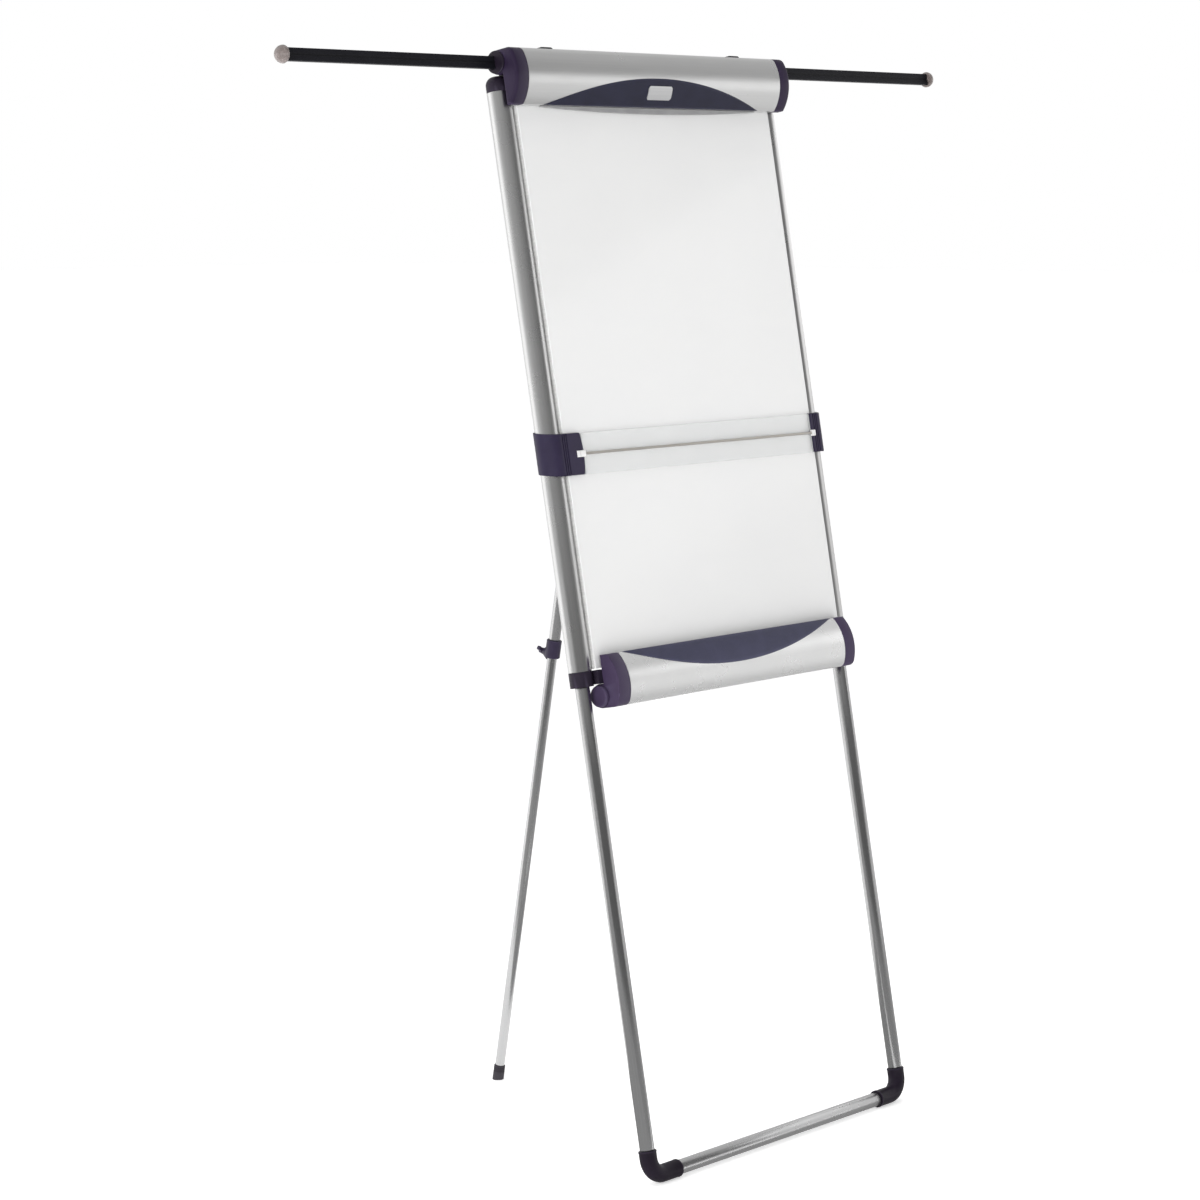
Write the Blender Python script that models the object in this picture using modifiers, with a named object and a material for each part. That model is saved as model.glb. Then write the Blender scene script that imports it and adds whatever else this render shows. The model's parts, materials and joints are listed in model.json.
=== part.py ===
"""Flipchart easel: telescopic front frame, folding rear leg, whiteboard, pad clamp and display arms.

The front frame leans back. Its pieces hang on an empty whose local axes are X to the right,
Y to the back of the board and Z up along the rails; sections are drawn as (forward, up).
"""
import math

import bmesh
import bpy
from mathutils import Matrix

# Driving dimensions in metres. Heights are measured up the rails from the bottom bar's axis,
# and depths forward of the plane that holds the axes of the rails and the legs.
GAP = 0.0003                    # left between neighbours that touch
OVERSHOOT = 0.05                # how far a cutting tool reaches past what it cuts
BAR_HEIGHT = 0.0155             # axis of the bottom bar above the floor
BAR_Y = -0.3305                 # axis of the bottom bar, so that the footprint is centred
LEAN = math.radians(10.2)       # rails off the vertical
REAR_SPLAY = math.radians(9.95)  # rear leg off the vertical

RAIL_X = 0.354
RAIL_RADIUS = 0.020
RAIL_BORE = 0.0145
RAIL_FOOT = 0.851
RAIL_TOP = 1.8225
DOME_SHOULDER = 1.8335          # the rail cap is straight up to here
DOME_TOP = 1.8485
DOME_FLAT = 0.006

LEG_RADIUS = 0.0125
LEG_BORE = 0.0110
LEG_TOP = 1.000
ELBOW_RADIUS = 0.0155
ELBOW_BEND = 0.030
ELBOW_TOP = 0.0445
ELBOW_END_X = 0.285
SPIGOT = 0.025                  # how far a plug reaches into its tube

BOARD_WIDTH = 0.680
BOARD_FOOT = 0.853
BOARD_TOP = 1.8445
BOARD_BACK = 0.008
BOARD_FRONT = 0.023
SHEET = 0.0004                  # steel sheets on both faces of the board

# The header and the tray share one section: a round boss with a bowed front beyond it.
BOSS_FORWARD = 0.018
BOSS_RADIUS = 0.0205
SKIN_END = 0.004                # the skins stop this far behind the boss axis
HEADER_BOSS = 1.8685
TRAY_BOSS = 0.806
HEADER_REACH = 0.073            # from the boss axis to the far edge
TRAY_REACH = 0.0685
SECTION_BACK = 0.0085
BOW_RADIUS = 0.0785
BOW_DEPTH = 0.0425
BOW_HEIGHT = 0.018
CORNER_RADIUS = 0.014
SKIN = 0.0018
HEADER_HALF = 0.370
TRAY_HALF = 0.330
TRAY_FLOOR_DROP = 0.004         # trough floor below the board's foot
TRAY_BORE = 0.0120
TRAY_PLUG_RADIUS = 0.0185
CAP_WIDTH = 0.030
LENS_HALF = 0.290
LENS_HEIGHT = 0.052
INSERT_SKIN = 0.0012
LIP_DEPTH = 0.008
LIP_TALL = 0.004
LIP_ROOT = 0.0015
BADGE_HALF = 0.032
BADGE_HIGH = -0.040
BADGE_LOW = -0.062
BADGE_SKIN = 0.0008

CHANNEL_RADIUS = 0.0160
CHANNEL_BORE = 0.0146
BUSH_LENGTH = 0.099
FLANGE_RADIUS = 0.0190
FLANGE_PROUD = 0.0033           # beyond the header cap
ARM_TIP = 0.868
ARM_DOME = 0.0145
ARM_INNER = 0.2697
ARM_OFFSET = 0.0044
ARM_DEPTH = 0.008
ARM_TALL = 0.021
STOP_LENGTH = 0.020
STOP_TALL = 0.023

COLLAR_FOOT = 0.825
LUG_TOP = 0.850
CROSSBAR_FOOT = 1.823
CROSSBAR_TOP = 1.843
CROSSBAR_BACK = -0.016
CROSSBAR_FRONT = 0.0074
CROSSBAR_WALL = 0.002
CROSSBAR_HALF = 0.315
POST_BACK = 0.010
POST_INSET = 0.004
SADDLE_RADIUS = 0.0182
SADDLE_OUTER = 0.336
SADDLE_INNER = 0.318

PIVOT_HEIGHT = 1.803
PIVOT_BACK = 0.034
HINGE_HALF = 0.022
HINGE_NOSE = 0.012
HINGE_PLATE = 0.004
CHEEK_INNER = 0.0093
CHEEK_OUTER = 0.0140
PIN_RADIUS = 0.003
REAR_TUBE_TOP = 0.032           # distances down the rear leg from its pivot
REAR_TUBE_FOOT = 0.977
REAR_LOWER_TOP = 0.800
REAR_LOWER_FOOT = 1.782
REAR_RADIUS = 0.0105
REAR_BORE = 0.0093
REAR_LOWER_RADIUS = 0.0090
REAR_LOWER_BORE = 0.0076
CLAMP_TOP = 0.957
CLAMP_FOOT = 0.990
CLAMP_RADIUS = 0.0138
CLAMP_BOSS_RADIUS = 0.0055
CLAMP_BOSS_LENGTH = 0.022

RULE_HEIGHT = 1.211
RULE_TALL = 0.070
RULE_BACK = 0.0245
RULE_FRONT = 0.0275
BRACKET_BACK = 0.0236
BRACKET_FRONT = 0.0296
BRACKET_INNER_LEFT = 0.300
BRACKET_INNER_RIGHT = 0.331
BRACKET_WALL = 0.0022
CLIP_HALF = 0.0055
CLIP_PROUD = 0.0025             # past the bracket's inner edge
ROD_RADIUS = 0.0022

HOOK_X = 0.253
HOOK_WIDTH = 0.038
HOOK_FRONT = 0.012              # depths from the boss axis
HOOK_BACK = 0.009
HOOK_TALL = 0.0045
STRAP_HALF = 0.006
STRAP_FRONT = 0.023
STRAP_BACK = 0.0195
PEG_DROP = 0.040
TURN_SECTION = Matrix(((0, 0, -1), (-1, 0, 0), (0, 1, 0))).to_euler()
TURN_TO_X = (0, math.pi / 2, 0)
TURN_TO_Y = (math.pi / 2, 0, 0)


# --- scene and materials ---------------------------------------------------------------------

for old in list(bpy.data.objects):
    bpy.data.objects.remove(old)

collection = bpy.data.collections.new("flipchart_easel")
bpy.context.scene.collection.children.link(collection)


def make_material(name, colour, roughness, metallic=0.0, alpha=1.0):
    material = bpy.data.materials.new(name)
    material.use_nodes = True
    shader = material.node_tree.nodes["Principled BSDF"]
    shader.inputs["Base Color"].default_value = (*colour, 1.0)
    shader.inputs["Roughness"].default_value = roughness
    shader.inputs["Metallic"].default_value = metallic
    shader.inputs["Alpha"].default_value = alpha
    return material


ALUMINIUM = make_material("satin_aluminium", (0.62, 0.62, 0.63), 0.32, 1.0)
SILVER = make_material("silver_shell", (0.66, 0.66, 0.67), 0.38, 0.8)
PLUM = make_material("plum_plastic", (0.045, 0.026, 0.075), 0.45)
NAVY = make_material("navy_insert", (0.020, 0.020, 0.045), 0.35)
BLACK = make_material("black_bar", (0.014, 0.014, 0.018), 0.40)
WHITEBOARD = make_material("whiteboard_enamel", (0.85, 0.85, 0.84), 0.15)
CORE = make_material("board_core", (0.55, 0.55, 0.54), 0.70)
STEEL = make_material("zinc_steel", (0.55, 0.56, 0.58), 0.30, 1.0)
RUBBER = make_material("rubber", (0.020, 0.018, 0.024), 0.75)
SMOKE = make_material("smoked_dome", (0.42, 0.38, 0.40), 0.20)
CLEAR = make_material("clear_acrylic", (0.90, 0.92, 0.92), 0.05, alpha=0.25)
CLIP = make_material("white_clip", (0.85, 0.84, 0.84), 0.35)
GREY = make_material("grey_lip", (0.30, 0.30, 0.31), 0.55)


# --- building blocks -------------------------------------------------------------------------

def pivot(name, parent=None, location=(0, 0, 0), rotation=(0, 0, 0)):
    """An empty that carries a moving piece, on its joint axis."""
    empty = bpy.data.objects.new(name, None)
    collection.objects.link(empty)
    empty.parent = parent
    empty.location = location
    empty.rotation_euler = rotation
    return empty


def place(name, mesh, material, parent, location=(0, 0, 0), rotation=(0, 0, 0)):
    mesh.materials.clear()
    mesh.materials.append(material)
    part = bpy.data.objects.new(name, mesh)
    collection.objects.link(part)
    part.parent = parent
    part.location = location
    part.rotation_euler = rotation
    return part


def evaluated_mesh(part):
    bpy.context.view_layer.update()
    graph = bpy.context.evaluated_depsgraph_get()
    mesh = bpy.data.meshes.new_from_object(part.evaluated_get(graph))
    work = bmesh.new()
    work.from_mesh(mesh)
    bmesh.ops.remove_doubles(work, verts=work.verts, dist=0.00001)
    work.to_mesh(mesh)
    work.free()
    return mesh


def boolean(part, tool, operation):
    """Cut, join or intersect a part with a tool, which is used up."""
    material = part.data.materials[0]
    modifier = part.modifiers.new(operation.lower(), "BOOLEAN")
    modifier.operation = operation
    modifier.solver = "EXACT"
    modifier.object = tool
    mesh = evaluated_mesh(part)
    part.modifiers.clear()
    mesh.materials.clear()
    mesh.materials.append(material)
    part.data = mesh
    bpy.data.objects.remove(tool)
    return part


def join(part, *tools):
    for tool in tools:
        boolean(part, tool, "UNION")
    return part


def cut(part, *tools):
    for tool in tools:
        boolean(part, tool, "DIFFERENCE")
    return part


def smooth(part, angle=35):
    part.data.shade_smooth()
    part.data.set_sharp_from_angle(angle=math.radians(angle))
    return part


def box(name, low, high, parent, material):
    """A box between two corners, given in its parent's frame."""
    work = bmesh.new()
    bmesh.ops.create_cube(work, size=1.0)
    size = [b - a for a, b in zip(low, high)]
    bmesh.ops.scale(work, vec=size, verts=work.verts)
    mesh = bpy.data.meshes.new(name)
    work.to_mesh(mesh)
    work.free()
    middle = [(a + b) / 2 for a, b in zip(low, high)]
    return place(name, mesh, material, parent, middle)


def rod(name, radius, length, parent, material, location=(0, 0, 0), rotation=(0, 0, 0), sides=32):
    """A solid cylinder centred on its location, along its local Z axis."""
    work = bmesh.new()
    bmesh.ops.create_cone(work, cap_ends=True, segments=sides, radius1=radius, radius2=radius,
                          depth=length)
    mesh = bpy.data.meshes.new(name)
    work.to_mesh(mesh)
    work.free()
    return smooth(place(name, mesh, material, parent, location, rotation))


def arc(centre, radius, start, end, steps):
    """Points along a circle, both ends included; angles in radians."""
    across, up = centre
    angles = [start + (end - start) * i / steps for i in range(steps + 1)]
    return [(across + radius * math.cos(angle), up + radius * math.sin(angle)) for angle in angles]


def circle(centre, radius, sides=32):
    return arc(centre, radius, 0, 2 * math.pi * (1 - 1 / sides), sides - 1)


def extruded(name, outlines, length, parent, material, location=(0, 0, 0), rotation=(0, 0, 0)):
    """A flat outline, with holes if more are given, extruded along local Z about its location."""
    curve = bpy.data.curves.new(name, "CURVE")
    curve.dimensions = "2D"
    curve.fill_mode = "BOTH"
    curve.extrude = length / 2
    for outline in outlines:
        spline = curve.splines.new("POLY")
        spline.points.add(len(outline) - 1)
        for point, (across, along) in zip(spline.points, outline):
            point.co = (across, along, 0, 1)
        spline.use_cyclic_u = True
    guide = bpy.data.objects.new(name + "_guide", curve)
    collection.objects.link(guide)
    mesh = evaluated_mesh(guide)
    bpy.data.objects.remove(guide)
    return smooth(place(name, mesh, material, parent, location, rotation))


def tube(name, radius, bore, low, high, parent, material, location=(0, 0, 0), rotation=(0, 0, 0),
         sides=32):
    """A hollow tube from low to high along local Z."""
    rings = [circle((0, 0), radius, sides), circle((0, 0), bore, sides)]
    part = extruded(name, rings, high - low, parent, material, location, rotation)
    part.data.transform(Matrix.Translation((0, 0, (low + high) / 2)))
    return part


def turned(name, profile, parent, material, location=(0, 0, 0), rotation=(0, 0, 0), sides=32):
    """A solid of revolution about local Z; the profile of (radius, height) runs top to bottom."""
    mesh = bpy.data.meshes.new(name)
    edges = [(i, i + 1) for i in range(len(profile) - 1)]
    mesh.from_pydata([(radius, 0, height) for radius, height in profile], edges, [])
    part = place(name, mesh, material, parent, location, rotation)
    screw = part.modifiers.new("turn", "SCREW")
    screw.steps = sides
    screw.render_steps = sides
    screw.use_merge_vertices = True
    screw.merge_threshold = 0.00001
    solid = evaluated_mesh(part)
    part.modifiers.clear()
    part.data = solid
    return smooth(part)


def across(name, outlines, x_low, x_high, parent, material):
    """A section given as (forward, up), extruded along X between two places."""
    middle = ((x_low + x_high) / 2, 0, 0)
    return extruded(name, outlines, x_high - x_low, parent, material, middle, TURN_SECTION)


# --- the section that the header and the tray share ------------------------------------------

def bowed_front(reach, inset=0.0):
    """The bowed front from the far edge to the corner by the boss, as (forward, away from boss)."""
    centre = (BOW_DEPTH - BOW_RADIUS, BOW_HEIGHT)
    corner_away = CORNER_RADIUS - BOSS_RADIUS
    meet = math.asin((corner_away - BOW_HEIGHT) / (BOW_RADIUS - CORNER_RADIUS))
    corner = (centre[0] + (BOW_RADIUS - CORNER_RADIUS) * math.cos(meet), corner_away)
    radius = BOW_RADIUS - inset
    start = math.asin((reach - BOW_HEIGHT) / radius)
    bow = arc(centre, radius, start, meet, 12)
    return bow + arc(corner, CORNER_RADIUS - inset, meet, -math.pi / 2, 6)[1:]


def cap_outline(reach):
    """The whole section: bowed front, boss and straight back."""
    back_angle = math.acos(SECTION_BACK / BOSS_RADIUS)
    boss = arc((0, 0), BOSS_RADIUS, -math.pi / 2, back_angle - 2 * math.pi, 18)
    return bowed_front(reach) + boss + [(SECTION_BACK, reach)]


def header_shell_outline():
    """A thin bowed skin with a flange along its far edge."""
    inner = bowed_front(HEADER_REACH - SKIN, SKIN)
    outer_end = (-SKIN_END, -BOSS_RADIUS)
    inner_end = (-SKIN_END, SKIN - BOSS_RADIUS)
    flange = [(SECTION_BACK, HEADER_REACH - SKIN), (SECTION_BACK, HEADER_REACH)]
    return bowed_front(HEADER_REACH) + [outer_end, inner_end] + inner[::-1] + flange


def tray_shell_outline():
    """A thin bowed skin whose inner floor carries the board and closes the pen trough."""
    floor_top = BOARD_FOOT - TRAY_BOSS - TRAY_FLOOR_DROP
    floor_back = BOARD_BACK - BOSS_FORWARD
    below = bowed_front(floor_top - SKIN, SKIN)
    trough = [point for point in bowed_front(TRAY_REACH, SKIN) if point[1] > floor_top]
    floor_front = bowed_front(floor_top, SKIN)[0]
    outer_end = (-SKIN_END, -BOSS_RADIUS)
    inner_end = (-SKIN_END, SKIN - BOSS_RADIUS)
    floor = [(floor_back, floor_top - SKIN), (floor_back, floor_top), floor_front]
    return bowed_front(TRAY_REACH) + [outer_end, inner_end] + below[::-1] + floor + trough[::-1]


def flipped(outline):
    return [(forward, -away) for forward, away in outline]


def lens_outline(direction):
    """The insert's outline as (x, away from the straight edge); direction says which way it bows."""
    radius = (LENS_HALF ** 2 + LENS_HEIGHT ** 2) / (2 * LENS_HEIGHT)
    half_angle = math.asin(LENS_HALF / radius)
    bow = arc((0, LENS_HEIGHT - radius), radius, math.pi / 2 - half_angle, math.pi / 2 + half_angle, 32)
    return [(x, direction * away) for x, away in bow]


def lens_insert(name, parent, reach, upward):
    """A thin lens-shaped skin lying on the bowed front; upward is 1 on the tray and -1 on the header."""
    strip_front = bowed_front(reach, -GAP - INSERT_SKIN)
    strip_back = bowed_front(reach, -GAP)
    strip = [(forward, upward * away) for forward, away in strip_front + strip_back[::-1]]
    insert = across(name, [strip], -LENS_HALF, LENS_HALF, parent, NAVY)
    edge = upward * (reach + GAP)
    window = extruded(name + "_window", [lens_outline(-upward)], 2 * OVERSHOOT, parent, NAVY,
                      (0, -OVERSHOOT - SECTION_BACK, edge), TURN_TO_Y)
    return smooth(boolean(insert, window, "INTERSECT"))


# --- fixed board frame -----------------------------------------------------------------------

def rebate(side, board):
    """The space that the board's edge takes out of a rail and its cap."""
    edge = BOARD_WIDTH / 2 + GAP
    low_x, high_x = sorted((side * edge, side * (edge - OVERSHOOT)))
    return box("rebate", (low_x, -OVERSHOOT, BOARD_FOOT - GAP),
               (high_x, GAP - BOARD_BACK, BOARD_TOP + GAP), board, ALUMINIUM)


def build_rail(name, side, board):
    rail = tube(name, RAIL_RADIUS, RAIL_BORE, RAIL_FOOT, RAIL_TOP, board, ALUMINIUM,
                (side * RAIL_X, 0, 0))
    return smooth(cut(rail, rebate(side, board)))


def build_rail_cap(name, side, board):
    """A domed cap that plugs into the rail and the crossbar and holds the arm channel in a ring."""
    head_foot = RAIL_TOP + GAP
    round_off = RAIL_RADIUS - DOME_FLAT
    rise = (DOME_TOP - DOME_SHOULDER) / round_off
    dome = [(DOME_FLAT + across_dome, DOME_SHOULDER + up * rise)
            for across_dome, up in arc((0, 0), round_off, math.pi / 2, 0, 8)]
    profile = [(0, DOME_TOP)] + dome + [(RAIL_RADIUS, head_foot), (0, head_foot)]
    cap = turned(name, profile, board, PLUM, (side * RAIL_X, 0, 0))
    plug_foot = RAIL_TOP - SPIGOT
    plug = rod("plug", RAIL_BORE - GAP, CROSSBAR_FOOT - plug_foot, board, PLUM,
               (side * RAIL_X, 0, (CROSSBAR_FOOT + plug_foot) / 2))
    low_x, high_x = sorted((side * RAIL_X, side * (CROSSBAR_HALF + GAP)))
    bridge = box("bridge", (low_x, -CROSSBAR_FRONT, CROSSBAR_FOOT),
                 (high_x, -CROSSBAR_BACK, CROSSBAR_TOP), board, PLUM)
    inset = CROSSBAR_WALL + GAP
    low_x, high_x = sorted((side * (CROSSBAR_HALF + CROSSBAR_WALL), side * (CROSSBAR_HALF - SPIGOT)))
    tongue = box("tongue", (low_x, inset - CROSSBAR_FRONT, CROSSBAR_FOOT + inset),
                 (high_x, -CROSSBAR_BACK - inset, CROSSBAR_TOP - inset), board, PLUM)
    low_x, high_x = sorted((side * SADDLE_OUTER, side * SADDLE_INNER))
    post = box("post", (low_x, -CROSSBAR_FRONT, CROSSBAR_FOOT + POST_INSET),
               (high_x, POST_BACK, HEADER_BOSS - POST_INSET), board, PLUM)
    middle = (side * (SADDLE_OUTER + SADDLE_INNER) / 2, -BOSS_FORWARD, HEADER_BOSS)
    width = SADDLE_OUTER - SADDLE_INNER
    ring = rod("ring", SADDLE_RADIUS, width, board, PLUM, middle, TURN_TO_X)
    bore = rod("bore", CHANNEL_RADIUS + GAP, 2 * width, board, PLUM, middle, TURN_TO_X)
    join(cap, plug, bridge, tongue, post, ring)
    return smooth(cut(cap, bore, rebate(side, board)))


def build_crossbar(board):
    wall = CROSSBAR_WALL
    outer = [(CROSSBAR_BACK, CROSSBAR_FOOT), (CROSSBAR_FRONT, CROSSBAR_FOOT),
             (CROSSBAR_FRONT, CROSSBAR_TOP), (CROSSBAR_BACK, CROSSBAR_TOP)]
    inner = [(CROSSBAR_BACK + wall, CROSSBAR_FOOT + wall),
             (CROSSBAR_FRONT - wall, CROSSBAR_FOOT + wall),
             (CROSSBAR_FRONT - wall, CROSSBAR_TOP - wall),
             (CROSSBAR_BACK + wall, CROSSBAR_TOP - wall)]
    across("top_crossbar", [outer, inner], -CROSSBAR_HALF, CROSSBAR_HALF, board, ALUMINIUM)


def build_board(board):
    half = BOARD_WIDTH / 2
    layers = (("board_face_sheet", BOARD_FRONT - SHEET, BOARD_FRONT, WHITEBOARD),
              ("board_core", BOARD_BACK + SHEET + GAP, BOARD_FRONT - SHEET - GAP, CORE),
              ("board_back_sheet", BOARD_BACK, BOARD_BACK + SHEET, WHITEBOARD))
    for name, back, front, material in layers:
        box(name, (-half, -front, BOARD_FOOT), (half, -back, BOARD_TOP), board, material)


def build_collar(name, side, board):
    """The bush at the rail's foot, with the lug that carries the tray and the clamp screw's hole."""
    sleeve_top = RAIL_FOOT + SPIGOT
    collar_top = RAIL_FOOT - GAP
    collar = rod(name, RAIL_RADIUS, collar_top - COLLAR_FOOT, board, PLUM,
                 (side * RAIL_X, 0, (collar_top + COLLAR_FOOT) / 2))
    sleeve = rod("sleeve", RAIL_BORE - GAP, sleeve_top - COLLAR_FOOT - 0.002, board, PLUM,
                 (side * RAIL_X, 0, (sleeve_top + COLLAR_FOOT + 0.002) / 2))
    low_x, high_x = sorted((side * (RAIL_X - 0.014), side * (TRAY_HALF - CAP_WIDTH + 0.003)))
    lug_front = BOSS_FORWARD + SECTION_BACK - GAP
    lug = box("lug", (low_x, -lug_front, COLLAR_FOOT + 0.002), (high_x, 0.006, LUG_TOP), board, PLUM)
    join(collar, sleeve, lug)
    bore = rod("bore", LEG_RADIUS + GAP, 0.2, board, PLUM, (side * RAIL_X, 0, RAIL_FOOT))
    reach = 0.03
    hole = rod("hole", PIN_RADIUS + GAP, reach, board, PLUM, knob_point(side, LEG_RADIUS + reach / 2),
               knob_turn(side), 16)
    return smooth(cut(collar, bore, hole))


def knob_point(side, distance):
    """A point on the leg clamp's axis, which runs inward and back from the leg at 45 degrees."""
    step = distance * math.sqrt(0.5)
    return (side * (RAIL_X - step), step, (COLLAR_FOOT + RAIL_FOOT) / 2)


def knob_turn(side):
    return (-math.pi / 2, 0, side * math.pi / 4)


def build_tray(board):
    axis = pivot("tray_axis", board, (0, -BOSS_FORWARD, TRAY_BOSS))
    seam = TRAY_HALF - CAP_WIDTH
    across("tray_shell", [tray_shell_outline()], GAP - seam, seam - GAP, axis, SILVER)
    lens_insert("tray_insert", axis, TRAY_REACH, 1)
    bore = circle((0, 0), TRAY_BORE, 24)
    rim = TRAY_PLUG_RADIUS
    stem = TRAY_BORE - GAP
    plug_profile = [(0, 0.0080), (rim - 0.0020, 0.0080), (rim, 0.0060), (rim, GAP), (stem, GAP),
                    (stem, -0.020), (0, -0.020)]
    for side, hand in ((-1, "left"), (1, "right")):
        low_x, high_x = sorted((side * seam, side * TRAY_HALF))
        across("tray_cap_" + hand, [cap_outline(TRAY_REACH), bore], low_x, high_x, axis, PLUM)
        turned("tray_plug_" + hand, plug_profile, axis, PLUM, (side * TRAY_HALF, 0, 0),
               (0, side * math.pi / 2, 0))


def build_channel(board):
    """The tube that the header turns on and the arms slide in, with a bush at each end."""
    axis = pivot("channel_axis", board, (0, -BOSS_FORWARD, HEADER_BOSS))
    end = HEADER_HALF - 0.0005
    tube("arm_channel", CHANNEL_RADIUS, CHANNEL_BORE, -end, end, axis, ALUMINIUM, (0, 0, 0), TURN_TO_X)
    flange_end = HEADER_HALF + FLANGE_PROUD
    bush_radius = CHANNEL_BORE - GAP
    profile = [(0, flange_end), (FLANGE_RADIUS - 0.001, flange_end), (FLANGE_RADIUS, flange_end - 0.001),
               (FLANGE_RADIUS, HEADER_HALF + GAP), (bush_radius, HEADER_HALF + GAP),
               (bush_radius, end - BUSH_LENGTH), (0, end - BUSH_LENGTH)]
    half_depth = ARM_DEPTH / 2 + GAP
    half_tall = ARM_TALL / 2 + GAP
    for side, hand in ((-1, "left"), (1, "right")):
        bush = turned("channel_bush_" + hand, profile, axis, PLUM, (0, 0, 0), (0, side * math.pi / 2, 0))
        low_x, high_x = sorted((side * (end - BUSH_LENGTH - OVERSHOOT), side * (end + OVERSHOOT)))
        shift = side * ARM_OFFSET
        slot = box("slot", (low_x, -shift - half_depth, -half_tall),
                   (high_x, -shift + half_depth, half_tall), axis, PLUM)
        smooth(cut(bush, slot))
    return axis


def build_hinge_bracket(board):
    """Two cheeks on a plate behind the crossbar, with the pin that the rear leg swings on."""
    plate_front = -CROSSBAR_BACK + GAP
    plate_back = plate_front + HINGE_PLATE
    pin = (0, PIVOT_BACK, PIVOT_HEIGHT)
    bracket = box("leg_hinge_bracket", (-HINGE_HALF, plate_front, PIVOT_HEIGHT - HINGE_NOSE),
                  (HINGE_HALF, plate_back, CROSSBAR_TOP), board, PLUM)
    for side in (-1, 1):
        low_x, high_x = sorted((side * CHEEK_INNER, side * CHEEK_OUTER))
        cheek = box("cheek", (low_x, plate_back - 0.001, PIVOT_HEIGHT - HINGE_NOSE),
                    (high_x, PIVOT_BACK, PIVOT_HEIGHT + HINGE_NOSE), board, PLUM)
        nose = rod("nose", HINGE_NOSE, high_x - low_x, board, PLUM,
                   ((low_x + high_x) / 2, PIVOT_BACK, PIVOT_HEIGHT), TURN_TO_X)
        join(bracket, cheek, nose)
    hole = rod("hole", PIN_RADIUS + GAP, OVERSHOOT, board, PLUM, pin, TURN_TO_X, 16)
    smooth(cut(bracket, hole))
    rod("hinge_pin", PIN_RADIUS, 0.030, board, STEEL, pin, TURN_TO_X, 16)


# --- header clamp ----------------------------------------------------------------------------

def build_header(board):
    axis = pivot("header_axis", board, (0, -BOSS_FORWARD, HEADER_BOSS))
    seam = HEADER_HALF - CAP_WIDTH
    across("header_shell", [flipped(header_shell_outline())], GAP - seam, seam - GAP, axis, SILVER)
    lens_insert("header_insert", axis, HEADER_REACH, -1)
    bore = circle((0, 0), CHANNEL_RADIUS + GAP)
    for side, hand in ((-1, "left"), (1, "right")):
        low_x, high_x = sorted((side * seam, side * HEADER_HALF))
        outlines = [flipped(cap_outline(HEADER_REACH)), bore]
        across("header_cap_" + hand, outlines, low_x, high_x, axis, PLUM)
    build_lip(axis)
    build_badge(axis)
    for side, hand in ((-1, "left"), (1, "right")):
        build_hook("pad_hook_" + hand, side, axis)


def build_lip(axis):
    """The soft strip along the header's far edge, which presses the pad against the board."""
    radius = (LENS_HALF ** 2 + LIP_DEPTH ** 2) / (2 * LIP_DEPTH)
    half_angle = math.asin(LENS_HALF / radius)
    middle = -math.pi / 2
    bow = arc((0, radius - LIP_DEPTH), radius, middle - half_angle, middle + half_angle, 32)
    outline = bow + [(LENS_HALF, LIP_ROOT), (-LENS_HALF, LIP_ROOT)]
    location = (0, -SECTION_BACK - 0.003, -HEADER_REACH - GAP - LIP_ROOT)
    extruded("clamp_lip", [outline], LIP_TALL, axis, GREY, location, TURN_TO_Y)


def build_badge(axis):
    """A plain blank plate that follows the bowed insert."""
    lift = GAP + INSERT_SKIN + GAP
    strip = bowed_front(HEADER_REACH, -lift - BADGE_SKIN) + bowed_front(HEADER_REACH, -lift)[::-1]
    badge = across("header_badge", [flipped(strip)], -BADGE_HALF, BADGE_HALF, axis, SILVER)
    window = box("window", (-OVERSHOOT, -BOW_DEPTH - OVERSHOOT, BADGE_LOW),
                 (OVERSHOOT, -BOSS_RADIUS, BADGE_HIGH), axis, SILVER)
    smooth(boolean(badge, window, "INTERSECT"))


def build_hook(name, side, axis):
    """A pad hook that clips over the header's top edge; its peg reaches back into the pad's hole."""
    slide = pivot(name + "_slide", axis, (side * HOOK_X, 0, 0))
    half = HOOK_WIDTH / 2
    top = BOSS_RADIUS + GAP
    under = BOSS_RADIUS - SKIN - GAP
    under_foot = CHANNEL_RADIUS + 0.0008
    hook = box(name, (-half, -HOOK_FRONT, top), (half, HOOK_BACK, top + HOOK_TALL), slide, BLACK)
    heel = box("heel", (-half, SKIN_END + GAP, under_foot), (half, HOOK_BACK, top + 0.001), slide, BLACK)
    tongue = box("tongue", (-STRAP_HALF, -STRAP_BACK - 0.0005, under_foot),
                 (STRAP_HALF, HOOK_BACK - 0.001, under), slide, BLACK)
    strap = box("strap", (-STRAP_HALF, -STRAP_FRONT, -PEG_DROP - 0.005),
                (STRAP_HALF, -STRAP_BACK, under), slide, BLACK)
    peg = rod("peg", PIN_RADIUS, 0.012, slide, BLACK, (0, -0.0155, -PEG_DROP), TURN_TO_Y, 16)
    smooth(join(hook, heel, tongue, strap, peg))


# --- telescopic front legs -------------------------------------------------------------------

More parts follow.
